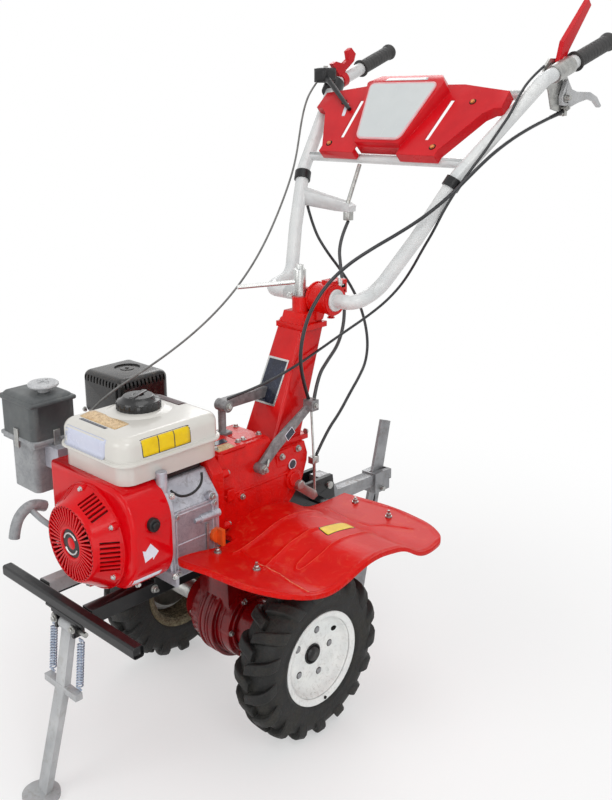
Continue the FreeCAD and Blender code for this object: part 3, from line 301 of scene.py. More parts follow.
def place(name, data, paint, replaces=(), body="chassis", soft=None):
    piece = bpy.data.objects.new(name, data)
    scene.collection.objects.link(piece)
    data.materials.clear()
    data.materials.append(paintOf(paint))
    if body:
        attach(piece, body)
    if replaces:
        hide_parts(replaces)
    if soft:
        soften(piece, *soft)
    return piece


def finishMesh(name, shape, paint, replaces=(), body="chassis", smooth=38, soft=None, tidy=True,
               slot=None):
    if tidy:
        bmesh.ops.remove_doubles(shape, verts=shape.verts, dist=1e-6)
    mesh = bpy.data.meshes.new(name)
    shape.to_mesh(mesh)
    shape.free()
    mesh.shade_smooth()
    mesh.set_sharp_from_angle(angle=math.radians(smooth))
    return place(name, mesh, paint, replaces, body, soft)


def copied(node, flat=0.6):  # a merged copy of a CAD node's mesh, with its flat faces joined
    shape = bmesh.new()
    shape.from_mesh(nodes[node].data)
    bmesh.ops.remove_doubles(shape, verts=shape.verts, dist=2e-5)
    if flat:
        bmesh.ops.dissolve_limit(shape, angle_limit=math.radians(flat), verts=shape.verts,
                                 edges=shape.edges)
    return shape


def reskin(node, paint, soft=None, body="chassis", smooth=32, flat=0.0, slot=None):
    return finishMesh(node + "Skin", copied(node, flat), paint, node, body, smooth, soft, False,
                      slot)


def turned(way):  # a rotation that takes +Z to the given way
    way = Vector(way).normalized()
    side = Vector((0, 0, 1)).cross(way)
    if side.length < 1e-4:
        side = Vector((0, 1, 0)).cross(way)
    side.normalize()
    return axes(side, way.cross(side), way)


def axes(*columns):
    return Matrix(columns).transposed().to_4x4()


def rotation(degrees, axis):
    return Matrix.Rotation(math.radians(degrees), 4, axis)


def settle(shape, verts, at, turn):
    bmesh.ops.transform(shape, matrix=Matrix.Translation(Vector(at) * mm) @ turn, verts=verts)


def addBlock(shape, low, high, turn=None, about=None):
    low, high = Vector(low) * mm, Vector(high) * mm
    made = bmesh.ops.create_cube(shape, size=1)["verts"]
    bmesh.ops.scale(shape, vec=high - low, verts=made)
    bmesh.ops.translate(shape, vec=(low + high) / 2, verts=made)
    if turn:
        pivot = Vector(about) * mm if about else (low + high) / 2
        back = turn @ Matrix.Translation(-pivot)
        bmesh.ops.transform(shape, matrix=Matrix.Translation(pivot) @ back, verts=made)
    return made


def addPair(shape, low, high):  # a block on the left and its mirror on the right
    for side in sides:
        near, far = sorted((side * low[1], side * high[1]))
        addBlock(shape, (low[0], near, low[2]), (high[0], far, high[2]))


def addRod(shape, start, end, radius, corners=20, tip=None):
    start, end = Vector(start) * mm, Vector(end) * mm
    made = bmesh.ops.create_cone(shape, cap_ends=True, segments=corners, radius1=radius * mm,
                                 radius2=(radius if tip is None else tip) * mm,
                                 depth=(end - start).length)["verts"]
    bmesh.ops.transform(shape, verts=made, matrix=Matrix.Translation((start + end) / 2)
                        @ turned(end - start))


def shapes(count):
    return [bmesh.new() for _ in range(count)]


def addAll(shape, add, *rows):
    for row in rows:
        add(shape, *row)


def build(name, paint, *rows, **more):  # a piece from rows: the adding function and its values
    shape = bmesh.new()
    for add, *values in rows:
        add(shape, *values)
    return finishMesh(name, shape, paint, **more)


bolt = {"washer": 1.6, "washerWide": 1.35, "domed": (14, 0.5, 0.5), "plain": (6, 0.8, 0.82),
        "studWide": 0.52}  # the tuples: corners, height of the head's side, width of its top


def addBolts(shape, way, head, thick, places, stud=0.0, washer=True, domed=False):
    way = Vector(way).normalized()
    corners, share, top = bolt["domed" if domed else "plain"]
    for at in map(Vector, places):
        foot = at
        if washer:
            foot = at + way * bolt["washer"]
            addRod(shape, at - way * 0.5, foot, head * bolt["washerWide"], 16)
        addRod(shape, foot - way * 0.2, foot + way * thick * share, head, corners)
        addRod(shape, foot + way * thick * share, foot + way * thick, head, corners, head * top)
        if stud:
            addRod(shape, foot, foot + way * (thick + stud), head * bolt["studWide"], 10)


def joined(shape, other):  # adds another shape to this one
    held = bpy.data.meshes.new("held")
    other.to_mesh(held)
    other.free()
    shape.from_mesh(held)
    bpy.data.meshes.remove(held)


def spin(profile, at, axis, steps=48, closed=True):
    # profile: (radius, height along the axis); spun round the axis through at
    shape = bmesh.new()
    points = [shape.verts.new(Vector((radius, 0, height)) * mm) for radius, height in profile]
    edges = [shape.edges.new(pair) for pair in zip(points, points[1:])]
    if closed:
        edges.append(shape.edges.new((points[-1], points[0])))
    bmesh.ops.spin(shape, geom=points + edges, cent=(0, 0, 0), axis=(0, 0, 1), angle=2 * math.pi,
                   steps=steps, use_merge=True)
    bmesh.ops.remove_doubles(shape, verts=shape.verts, dist=1e-6)
    bmesh.ops.recalc_face_normals(shape, faces=shape.faces)
    settle(shape, shape.verts, at, turned(axis))
    return shape


def sheetOf(shape, outline, normal, thick):  # a flat outline of points, given a thickness
    face = shape.faces.new([shape.verts.new(Vector(p) * mm) for p in outline])
    lifted = bmesh.ops.extrude_face_region(shape, geom=[face])["geom"]
    moved = [part for part in lifted if isinstance(part, bmesh.types.BMVert)]
    bmesh.ops.translate(shape, vec=Vector(normal).normalized() * thick * mm, verts=moved)
    bmesh.ops.recalc_face_normals(shape, faces=shape.faces)


def cutPlane(shape, at, way, clear=False, reach=1e-6):  # clear: drops what lies beyond the plane
    bmesh.ops.bisect_plane(shape, geom=shape.verts[:] + shape.edges[:] + shape.faces[:], dist=reach,
                           plane_co=at, plane_no=way, clear_outer=clear)
    if clear:
        closeHoles(shape)


def closeHoles(shape):
    bmesh.ops.holes_fill(shape, edges=[edge for edge in shape.edges if edge.is_boundary])


def roundEdges(shape, edges, radius, segments):
    bmesh.ops.bevel(shape, geom=edges, offset=radius * mm, segments=segments, profile=0.5,
                    affect="EDGES", material=-1, clamp_overlap=True)


def evaluated(piece):  # its mesh with its modifiers applied
    bpy.context.view_layer.update()
    return bpy.data.meshes.new_from_object(
        piece.evaluated_get(bpy.context.evaluated_depsgraph_get()))


def tubeOf(name, points, radius):  # a smooth tube along the points
    line = bpy.data.curves.new(name, "CURVE")
    line.dimensions = "3D"
    line.resolution_u = 10
    line.bevel_depth = radius * mm
    line.bevel_resolution = 3
    line.use_fill_caps = True
    spline = line.splines.new("NURBS")
    spline.points.add(len(points) - 1)
    for target, at in zip(spline.points, points):
        target.co = (*(Vector(at) * mm), 1.0)
    spline.order_u = 3
    spline.use_endpoint_u = True
    holder = bpy.data.objects.new("holder", line)
    scene.collection.objects.link(holder)
    mesh = evaluated(holder)
    bpy.data.objects.remove(holder)
    return mesh


def tubePiece(name, points, radius, paint, replaces=(), body="chassis", soft=None):
    mesh = tubeOf(name, points, radius)
    mesh.shade_smooth()
    return place(name, mesh, paint, replaces, body, soft)


cameraView = {
    "at": (1311.56, 1457.17, 1323.0), "yaw": 226.14, "pitch": 15.6, "roll": -0.99,
    "focal": 972.44, "centre": (259.36, 358.78), "frame": (612, 800), "sensor": 36.0,
    "near": 0.05, "far": 60,
}


def makeCamera():
    yaw, pitch, roll = (math.radians(cameraView[key]) for key in ("yaw", "pitch", "roll"))
    level = math.cos(pitch)
    ahead = Vector((level * math.cos(yaw), level * math.sin(yaw), -math.sin(pitch)))
    right = Vector((math.sin(yaw), -math.cos(yaw), 0))
    above = right.cross(ahead)
    side = right * math.cos(roll) + above * math.sin(roll)
    top = above * math.cos(roll) - right * math.sin(roll)
    wide, high = cameraView["frame"]
    lens = bpy.data.cameras.new("camera")
    lens.sensor_fit = "HORIZONTAL"
    lens.sensor_width = cameraView["sensor"]
    lens.lens = cameraView["focal"] / wide * cameraView["sensor"]
    lens.shift_x = (wide / 2 - cameraView["centre"][0]) / wide
    lens.shift_y = (cameraView["centre"][1] - high / 2) / wide
    lens.clip_start = cameraView["near"]
    lens.clip_end = cameraView["far"]
    eye = bpy.data.objects.new("camera", lens)
    eye.matrix_world = Matrix.Translation(Vector(cameraView["at"]) * mm) @ axes(side, top, -ahead)
    scene.collection.objects.link(eye)
    scene.camera = eye


lights = {
    # place, aim, size, watts
    "key": ((1.6, 3.2, 3.6), (0, 0, 0.5), 1.8, 44),
    "low": ((2.6, 2.8, 0.8), (0, 0, 0.6), 1.8, 15),
    "front": ((3.8, -0.6, 2.4), (0, 0, 0.6), 2.2, 36),
    "back": ((-3.2, -2.4, 3.0), (0, 0, 0.6), 2.2, 40),
    "top": ((-0.4, 0.4, 4.2), (0, 0, 0), 2.4, 26),
}
skyLight = {"lighting": 0.56, "seen": 1.0}


def makeLights():
    for name, (at, aim, size, watts) in lights.items():
        lamp = bpy.data.lights.new(name, "AREA")
        lamp.size = size
        lamp.energy = watts
        holder = bpy.data.objects.new(name, lamp)
        holder.location = at
        holder.rotation_euler = (Vector(aim) - Vector(at)).to_track_quat("-Z", "Y").to_euler()
        scene.collection.objects.link(holder)
    world = bpy.data.worlds.new("studio")
    scene.world = world
    world.use_nodes = True
    sky = Web(world.node_tree)
    plain, seen = (sky.node("Background", {}, {"Color": white, "Strength": skyLight[key]})[0]
                   for key in ("lighting", "seen"))
    sky.blend(sky.seenRays(), plain, seen, "World Output")


floorLook = {"half": 9, "shade": 0.93, "nearShadow": 0.7, "farShadow": 1.9, "lit": 0.45,
             "centre": (0.02, 0.0), "drop": 0.0005}


def makeFloor():
    shape = bmesh.new()
    bmesh.ops.create_grid(shape, x_segments=1, y_segments=1, size=floorLook["half"])
    mesh = bpy.data.meshes.new("floor")
    shape.to_mesh(mesh)
    shape.free()
    floor = bpy.data.objects.new("floor", mesh)
    floor.location.z = -floorLook["drop"]
    scene.collection.objects.link(floor)
    paint = Paint("floorPaint", specular=0.0)
    shade = floorLook["shade"]
    paint.finish((shade, shade, shade, 1), 0.9)
    x, y = floorLook["centre"]
    moved = paint.node("Mapping", {}, {"Vector": paint.place, "Location": (-x, -y, 0)})[0]
    away = paint.node("VectorMath", {"operation": "LENGTH"}, {0: moved})[1]
    fade = paint.node("MapRange", {"interpolation_type": "SMOOTHSTEP"}, {
        0: away, 1: floorLook["nearShadow"], 2: floorLook["farShadow"], 3: floorLook["lit"]})[0]
    glow = paint.node("Emission", {}, {"Color": white})[0]
    surface = Wire(paint, paint.shader.outputs[0])
    paint.blend(fade * paint.seenRays(), surface, glow, "Material Output")
    mesh.materials.append(paint.material)


scene.view_settings.view_transform = "Standard"
makeCamera()
makeLights()
makeFloor()
print("camera, lights and floor ready")

cables = {
    # each cable's node, thickness, length of its tube, paint and route in mm, from the lever down
    "clutchCable": ("cable_clutch", 8, 1021, "sheathBlack", [
        (-788, 288, 1257), (-722.3, 282.9, 1240.4), (-656, 279.3, 1222.7), (-590.8, 276.3, 1201.1),
        (-527.7, 273, 1174.2), (-467.9, 268.4, 1140.6), (-414.9, 254.5, 1099.6),
        (-381.8, 215.1, 1055.3), (-357.2, 164.3, 1016.4), (-313.8, 123.4, 982.9),
        (-258.6, 98.7, 950.6), (-202.8, 87.6, 912.3), (-157.4, 82.9, 861.4), (-136.4, 77.6, 796.7),
        (-141.1, 72.6, 728.6), (-168, 70, 665.8)]),
    "reverseCable": ("cable_reverse", 6, 1126, "sheathBlack", [
        (-694.3, 290, 1357.4), (-649.8, 283.5, 1330.9), (-609.3, 284.9, 1298.9),
        (-575.7, 286, 1259.4), (-541.7, 278, 1222), (-509.9, 268.5, 1182.7),
        (-476.9, 256.7, 1145.3), (-448.3, 242.4, 1105.2), (-427.9, 225.7, 1061.5),
        (-422.3, 203.9, 1014.5), (-420.7, 177, 971.6), (-422.4, 150.3, 927.8),
        (-418.3, 122.2, 885.1), (-399.3, 94.5, 846.7), (-364.7, 71.9, 816.7),
        (-321.4, 57.1, 793.9), (-273.7, 51, 776), (-224.5, 51.4, 761.5), (-174.9, 53.8, 748.8),
        (-125.1, 53.9, 736.4), (-76.2, 47, 722.6), (-31.8, 27.7, 706.4), (3, -5, 688.2)]),
    "throttleCable": ("cable_throttle", 5, 1181, "sheathGrey", [
        (-611, -311.8, 1332.8), (-575.1, -303.3, 1308.5), (-545.8, -293.6, 1275.1),
        (-522.8, -283.5, 1237.2), (-502.7, -273.2, 1197.6), (-482.1, -262.6, 1158.4),
        (-457.5, -251.7, 1121.6), (-429.8, -241.7, 1087), (-401.6, -233.8, 1052),
        (-373.5, -228, 1016.7), (-344.6, -223.2, 981.8), (-313.8, -218.6, 948.6),
        (-280.6, -213.7, 917.8), (-245.1, -208.4, 889.7), (-207.9, -203, 864.1),
        (-169.1, -197.8, 840.8), (-129, -192.9, 819.7), (-88, -188.6, 800.4),
        (-46.2, -184.9, 782.7), (-3.8, -182.2, 766.3), (39.1, -180.6, 750.9),
        (82.2, -180.2, 736.4), (125.5, -181.3, 722.2), (168, -184.5, 706.1),
        (207.1, -190.8, 683.8), (237.8, -200.9, 652.1), (256, -214, 612.6)]),
    "shiftCable": ("cable_shift", 7, 741, "sheathBlack", [
        (-440, -186, 1042), (-445.2, -169.6, 982.6), (-452, -134, 932.8), (-479.2, -107.9, 882.8),
        (-493.9, -76.8, 830.8), (-495.9, -48.8, 774.9), (-484.5, -25.1, 718.4), (-446.1, 1, 678.1),
        (-392.6, 24.6, 655.9), (-337.9, 42.7, 631.6), (-285.8, 57.3, 600.1), (-230.5, 68.6, 573.2),
        (-188.3, 75, 530)]),
    "gearCable": ("cable_gear", 8, 484, "sheathDark", [
        (-447, -60, 1013.1), (-404.7, -53.5, 967.9), (-391, -32.7, 906.4), (-372.4, -5.9, 848.8),
        (-340.8, 22.2, 797.9), (-293.2, 45.8, 758.5), (-240, 61, 735), (-196, 73, 711),
        (-177, 79, 665.8)]),
}


def makeCables():
    for name, (node, thick, length, paint, route) in cables.items():
        path = [tuple(vert.co) for vert in tubeOf(name + "Path", route, 0).vertices]
        piece = tubePiece(name, route, thick / 2, paint, body=None)
        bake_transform(piece)
        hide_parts(node)


makeCables()
print("cables made")


def surfaceOf(piece):
    return BVHTree.FromObject(piece, bpy.context.evaluated_depsgraph_get())


def onSurface(tree, at, way, lift, reach=60):
    way = Vector(way).normalized()
    hit = tree.ray_cast(Vector(at) * mm + way * reach * mm, -way, 3 * reach * mm)
    return (hit[0] or Vector(at) * mm) + way * lift * mm


labelThick = 0.3


def stickOn(name, corners, way, tree, paint, cells=(12, 6), lift=0.35, corner=0.25, body="chassis"):
    # a plate laid on a surface, given by four corners, the way it faces and its corner rounding
    shape = bmesh.new()
    bmesh.ops.create_grid(shape, x_segments=cells[0], y_segments=cells[1], size=1)
    first, second, third, fourth = map(Vector, corners)
    wide = (second - first).length + (third - fourth).length
    high = (fourth - first).length + (third - second).length
    bend = [2 * corner * min(wide, high) / size for size in (wide, high)]
    for vert in shape.verts:
        u, v = vert.co.x, vert.co.y
        over = [(abs(value) - 1 + part) / part for value, part in zip((u, v), bend)]
        if min(over) > 0:  # a rounded corner
            squeeze = max(over) / math.hypot(*over)
            u, v = (math.copysign(1 - part + value * squeeze * part, sign)
                    for value, part, sign in zip(over, bend, (u, v)))
        low = first.lerp(second, (u + 1) / 2)
        top = fourth.lerp(third, (u + 1) / 2)
        vert.co = onSurface(tree, low.lerp(top, (v + 1) / 2), way, lift)
    bmesh.ops.recalc_face_normals(shape, faces=shape.faces)
    shape.normal_update()
    if sum((face.normal for face in shape.faces), Vector()).dot(Vector(way)) < 0:
        bmesh.ops.reverse_faces(shape, faces=shape.faces)
    piece = finishMesh(name, shape, paint, body=body, tidy=False)
    wall = piece.modifiers.new("thickness", "SOLIDIFY")
    wall.thickness = labelThick * mm
    wall.offset = -1


def nearLine(at, line):  # distance in the plane from a point to a run of points
    best = 1e9
    for (ax, ay), (bx, by) in zip(line, line[1:]):
        dx, dy = bx - ax, by - ay
        share = ((at[0] - ax) * dx + (at[1] - ay) * dy) / (dx * dx + dy * dy)
        share = max(0.0, min(1.0, share))
        best = min(best, math.hypot(at[0] - ax - share * dx, at[1] - ay - share * dy))
    return best


cutSharp = 35


def carve(piece, cutter):  # takes the cutter's shape out of a closed piece
    mesh = bpy.data.meshes.new("cutter")
    bmesh.ops.recalc_face_normals(cutter, faces=cutter.faces)
    cutter.to_mesh(mesh)
    cutter.free()
    tool = bpy.data.objects.new("cutter", mesh)
    scene.collection.objects.link(tool)
    step = piece.modifiers.new("openings", "BOOLEAN")
    step.object = tool
    step.operation = "DIFFERENCE"
    step.solver = "EXACT"
    cut = evaluated(piece)
    piece.modifiers.clear()
    old = piece.data
    piece.data = cut
    bpy.data.meshes.remove(old)
    bpy.data.objects.remove(tool)
    cut.shade_smooth()
    cut.set_sharp_from_angle(angle=math.radians(cutSharp))


tyre = {
    "middle": 223, "lugs": 17, "width": (20, 29), "spread": 12, "sweep": 32, "tread": 175,
    "profile": [(88.4, -37.6), (101, -38.5), (107, -44.0), (112, -45.8), (116, -44.6), (127, -46.4),
                (140, -46.0), (152, -43.0), (161, -36.0), (166.5, -24.0), (168, -10.0)],
    # across the tread, then down the wall: distance from the middle and radius
    "lugTop": [(-7, 182.6), (6, 182.6), (20, 181.6), (32, 178.4), (41, 172.5), (46.2, 164.5),
               (48.2, 155), (47.9, 146), (47.2, 138)],
    "lugFoot": [(-7, 160), (6, 160), (18, 159), (28, 156), (35, 151), (39, 147), (40, 143),
                (40, 139), (40, 134)],
}
axle = 183


def addLug(shape, turn, half, middle):
    # a bar that leaves the middle of the tread, sweeps back to the shoulder and runs down the wall
    steps = len(tyre["lugTop"]) - 1
    lug = bmesh.new()
    bmesh.ops.create_cube(lug, size=1)
    long = [edge for edge in lug.edges if abs(edge.verts[0].co.x - edge.verts[1].co.x) > 0.5]
    bmesh.ops.subdivide_edges(lug, edges=long, cuts=steps - 1, use_grid_fill=True)
    for vert in lug.verts:
        along = vert.co.x + 0.5
        high = vert.co.z > 0
        across, radius = tyre["lugTop" if high else "lugFoot"][round(along * steps)]
        width = tyre["width"][0 if high else 1] + tyre["spread"] * along
        angle = turn + (tyre["sweep"] * along ** 0.8 + vert.co.y * width) / tyre["tread"]
        vert.co = Vector((radius * math.cos(angle), middle + half * across,
                          radius * math.sin(angle) + axle)) * mm
    joined(shape, lug)


def makeTyre(side):
    middle = side * tyre["middle"]
    profile = tyre["profile"] + [(r, -h) for r, h in reversed(tyre["profile"])]
    shape = spin(profile, (0, middle, axle), (0, 1, 0), 96)
    for k in range(tyre["lugs"]):
        for half in (-1, 1):
            addLug(shape, 2 * math.pi * (k + (0.5 if half > 0 else 0)) / tyre["lugs"], half, middle)
    bmesh.ops.recalc_face_normals(shape, faces=shape.faces)
    name = sides[side]
    finishMesh("tyre" + name, shape, "tyreRubber", "tyre_" + name.lower(), "wheels", 50, (5.0, 3),
               False)


wheel = {
    "middle": 223, "outset": 13, "boltCircle": 52, "firstBolt": 177, "bolts": 5,
    # recess: the dark ring of painted shade round each bolt
    "bolt": (6.4, 2.2, 3.4), "recess": (7.9, 0.9),  # radius, then heights
    "window": (-64, 33, 6.2), "centre": 20.5, "valve": (-9, -96, 3.6),
    "disc": [(103, 40.2), (102.4, 42), (99, 42), (94, 40.8), (89, 38.5), (85.4, 34), (84, 28),
             (82, 22), (77, 16.2), (70, 13.6), (62, 13), (58, 13.8), (40, 13.8), (36, 13), (24, 13),
             (15.2, 13), (15.2, 9), (64, 9), (72, 10), (80, 14), (84, 20), (87.8, 33), (88.2, 37.8),
             (96, 38.4)],
    "barrel": [(103, -40.2), (102.4, -42), (99, -42), (94, -40.8), (89, -38.5), (84, -34), (84, 8),
               (84.2, 19), (88, 30), (88, -37.8), (96, -38.4)],
}


def makeRim(side):
    name, way = sides[side], (0, side, 0)
    spot = (0, side * wheel["middle"], axle)
    disc, barrel = [finishMesh("rim" + name + part, spin(wheel[part], spot, way, 96), paint,
                               "wheel_rims", "wheels", 30)
                    for part, paint in (("disc", "rimWhite"), ("barrel", "rimGrimy"))]
    y = side * (wheel["middle"] + wheel["outset"])
    out = Vector(way)
    bolts, holeShades, caps = shapes(3)
    radius, low, high = wheel["bolt"]
    wide, flush = wheel["recess"]
    for k in range(wheel["bolts"]):
        angle = math.radians(wheel["firstBolt"] + 360 / wheel["bolts"] * k)
        at = Vector((wheel["boltCircle"] * math.cos(angle), y,
                     axle + wheel["boltCircle"] * math.sin(angle)))
        addRod(bolts, at, at + out * low, radius)
        addRod(bolts, at + out * low, at + out * high, radius, 20, 5)
        # a dark ring round each bolt: painted shade in its recess
        addRod(holeShades, at - out, at + out * flush, wide)
    x, z, size = wheel["window"]
    corners = [(x + a * size, y, axle + z + b * size)
               for a, b in ((-1, -1), (1, -1), (1, 1), (-1, 1))]
    # a dark patch on the disc: painted shade seen through the window
    stickOn("wheelWindowShade" + name, corners, way, surfaceOf(disc), "darkHole", (12, 12), 0.5, 0.5,
            "wheels")
    x, z, size = wheel["valve"]
    centre = wheel["centre"]
    # the valve hole and the centre hole as dark discs: painted shade
    addRod(holeShades, (x, y + side * 16, axle + z), (x, y + side * 30, axle + z), size, 14)
    addRod(holeShades, (0, y - side, axle), (0, y + side * 1.2, axle), centre, 36)
    joined(caps, spin([(centre - 1, 0), (centre + 2, 0), (centre + 2, 2.6), (centre - 1, 2.6)],
                      (0, y, axle), way))
    addRod(caps, (0, y, axle), (0, y + side * 4, axle), 12, 28, 11)
    finishMesh("wheelNuts" + name, bolts, "steelGrey", (), "wheels", 30, slot="zinc_steel")
    finishMesh("wheelHoleShade" + name, holeShades, "darkHole", (), "wheels", 30)
    finishMesh("wheelCap" + name, caps, "blackPlastic", (), "wheels", soft=(0.8, 2))


for side in sides:
    makeTyre(side)
    makeRim(side)
hub = {"boltReach": 238, "boltsFrom": 42}


def makeHubs():
    shape = copied("wheel_hubs", 0.0)
    reach = hub["boltReach"] * mm
    for vert in shape.verts:
        away = math.hypot(vert.co.x, vert.co.z - axle * mm)
        if abs(vert.co.y) > reach and away > hub["boltsFrom"] * mm:
            vert.co.y = math.copysign(reach, vert.co.y)
    finishMesh("hubSkin", shape, "zinc", "wheel_hubs", "wheels", 32, tidy=False)


makeHubs()
reskin("axle_shaft", "blackSteel", None, "wheels", slot="zinc_steel")
print("wheels made")

reskin("final_drive_case", "driveRed", (2.5, 3, 50), smooth=40)
drive = {
    "rings": [(90.5, 20, 3), (90.5, 4, 3), (79.5, 36, 3), (66, 62, 4)],  # radius, place, half width
    "lugs": (6, 4, 71), "coverBolts": (3, 50, 47),  # count, first angle, radius
    "lugEnds": (38, 64, 9.5, 18, 8.5), "face": 103.5,
    "collar": [(20, 0), (34, 0), (34, 3.5), (30, 6), (20, 6)],
}


def aroundAxle(count, first, radius):
    for k in range(count):
        angle = math.radians(360 / count * k + first)
        yield radius * math.cos(angle), axle + radius * math.sin(angle)


def makeDriveTrim():
    red, bolts = shapes(2)
    start, end, *size = drive["lugEnds"]
    for side in (-1, 1):
        way = (0, side, 0)
        for radius, depth, wide in drive["rings"]:
            joined(red, spin([(radius - 6, -wide), (radius + 1.5, -wide), (radius + 2.6, 0),
                              (radius + 1.5, wide), (radius - 6, wide)], (0, side * depth, axle),
                             (0, 1, 0), 72))
        for x, z in aroundAxle(*drive["lugs"]):
            addRod(red, (x, side * start, z), (x, side * end, z), *size)
            addBolts(bolts, way, 5.4, 5, [(x, side * (end - 0.5), z)])
        for x, z in aroundAxle(*drive["coverBolts"]):
            addBolts(bolts, way, 4.2, 4, [(x, side * (drive["face"] + 0.1), z)])
        joined(red, spin(drive["collar"], (0, side * drive["face"], axle), way, 40))
    for side in (-1, 1):  # webs up to the gear case
        addBlock(red, (-4, side * 30 - 4, 262), (4, side * 30 + 4, 350))
        addBlock(red, (-30, side * 44 - 3, 300), (34, side * 44 + 3, 308))
    finishMesh("driveRibs", red, "driveRed", soft=(1.2, 2))
    finishMesh("driveBolts", bolts, "zinc", smooth=30)


makeDriveTrim()
print("final drive made")

gearCase = {
    "side": 64, "bulge": 8, "middle": 462, "half": 84, "front": 90, "back": -112,
    "levels": [372 + 14 * k for k in range(1, 14)], "cuts": [90 - 16 * k for k in range(14)],
    "bosses": [(-118, 492, 72, 78, 17, 28), (38, 500, 60, 74, 11, 20), (-84, 553, 60, 70, 10, 20),
               (-134, 559, 60, 70, 10, 20)],  # x, z, from, to, radius, corners
    "blocks": [((14, -58, 602), (92, 64, 610)), ((84, -70, 372), (98, 70, 606)),
               ((-54, -44, 602), (6, 44, 606))],  # raised lid, front flange, back plate
    "pairs": [((-100, 60, 508), (84, 72, 514)), ((60, 60, 500), (80, 76, 526)),
              ((-150, 60, 528), (-70, 68, 566))],
    "backBolts": [(x, y, z) for y in (-58, 58) for x, z in ((-171, 586), (-60, 520), (-60, 440))],
    "flange": (74, (400, 452, 566)),
    "lidBolts": [(22, -44, 609.5), (84, -44, 609.5), (22, 46, 609.5), (84, 46, 609.5),
                 (-48, -36, 605.6), (-48, 36, 605.6), (-2, -36, 605.6), (-2, 36, 605.6)],
    "labels": [("lidPlate", 610, [(40, 34), (44, 62), (90, 62), (88, 34)], "creamLabel"),
               ("lidPlateDark", 611, [(30, 10), (36, 31), (74, 31), (68, 10)], "darkLabel")],
    "badge": (-118, 526),
}


def makeGearCase():
    shape = copied("gearbox_housing", 0.5)
    for height in gearCase["levels"]:
        cutPlane(shape, (0, 0, height * mm), (0, 0, 1))
    for x in gearCase["cuts"]:
        cutPlane(shape, (x * mm, 0, 0), (1, 0, 0))
    for vert in shape.verts:
        x, y, z = vert.co / mm
        if abs(abs(y) - gearCase["side"]) < 0.2:
            share = 1 - ((z - gearCase["middle"]) / gearCase["half"]) ** 2
            ends = min(1.0, (gearCase["front"] - x) / 24, (x - gearCase["back"]) / 40)
            if share > 0 and ends > 0:
                vert.co.y += math.copysign(gearCase["bulge"] * share ** 0.6 * ends ** 0.5 * mm, y)
    finishMesh("gearCase", shape, "castRed", "gearbox_housing", smooth=36, soft=(1.6, 2, 50),
               tidy=False)


def makeGearTrim():
    red, bolts = shapes(2)
    addAll(red, addBlock, *gearCase["blocks"])
    addAll(red, addPair, *gearCase["pairs"])
    wide, levels = gearCase["flange"]
    for side in sides:
        way = (0, side, 0)
        for x, z, low, high, radius, corners in gearCase["bosses"]:
            addRod(red, (x, side * low, z), (x, side * high, z), radius, corners)
        addBolts(bolts, way, 5.6, 6, [(-84, side * 69.5, 553), (-134, side * 69.5, 559)])
        addBolts(bolts, way, 5, 5, [(38, side * 73.5, 500)])
        for z in levels:
            addRod(red, (80, side * wide, z), (99, side * wide, z), 9, 18)
            addBolts(bolts, (-1, 0, 0), 5, 5, [(80.5, side * wide, z)])
    addBolts(bolts, (0, 0, 1), 5, 4.5, gearCase["lidBolts"])
    addBolts(bolts, (-1, 0, 0), 5, 4, gearCase["backBolts"])
    trim = finishMesh("gearTrim", red, "castRed", soft=(2.2, 3))
    finishMesh("gearBolts", bolts, "zinc", smooth=30)
    lid = surfaceOf(trim)
    for name, z, corners, paint in gearCase["labels"]:
        stickOn(name, [(x, y, z) for x, y in corners], (0, 0, 1), lid, paint, corner=0.1)
    x, z = gearCase["badge"]
    build("caseBadge", "darkLabel", (addRod, (x, 66.5, z), (x, 68.9, z), 11, 28))
    rim = spin([(9.5, 0), (11.6, 0), (11.6, 1.2), (9.5, 1.2)], (x, 68.2, z), (0, 1, 0), 28)
    finishMesh("caseBadgeRim", rim, "whiteLabel")


makeGearCase()
makeGearTrim()
reskin("clutch_bell", "castRed", (2.5, 3))
reskin("oil_plug", "orangePlastic", (1.5, 3, 50))
print("gear case made")

reskin("engine_block", "alloy", (2.5, 3), flat=0.5)
reskin("carburettor", "alloy", (1.5, 2))
reskin("tank_mount", "blackSteel", (0.8, 2))
block = {
    "left": 102, "right": -78,
    "blocks": [((138, 100, 402), (250, 105, 540)),  # left cover and its ribs
               *(((144, 104, z), (248, 106.6, z + 4)) for z in (430, 468, 530)),
               *(((x, 104, 404), (x + 4, 107.4, 538)) for x in (146, 240)),
               *(((x - 12, y - 14, 393), (x + 12, y + 14, 404)) for x in (140, 244)
                 for y in (70, -52)),  # feet
               *(((134 + 17 * k, -83, 404), (138 + 17 * k, -76, 470)) for k in range(7))],
    "rods": [((132, 105, 507), (182, 105, 507), 8.5, 18),
             ((176, 105, 507), (196, 105, 507), 5.5, 14),
             ((152, 98, 548), (152, 110, 548), 9, 18), ((262, 92, 560), (262, 92, 628), 11),
             ((262, 92, 556), (262, 92, 566), 15), ((176, 102, 414), (176, 116, 414), 9, 16)],
    "feet": [(x, y, 403.6) for x in (140, 244) for y in (70, -52)],
    "coverBolts": [(146, 412), (146, 532), (242, 412), (242, 532), (194, 406)],
    # shade: the plate of painted shade behind the cover ribs
    "shade": ((141, 103, 405), (247, 105.5, 537)), "sideRod": ((166, 108, 420), (166, 108, 494)),
    "hose": [(250, 104, 588), (238, 108, 574), (214, 110, 568), (190, 109, 572), (172, 106, 586),
             (166, 96, 598)],
}


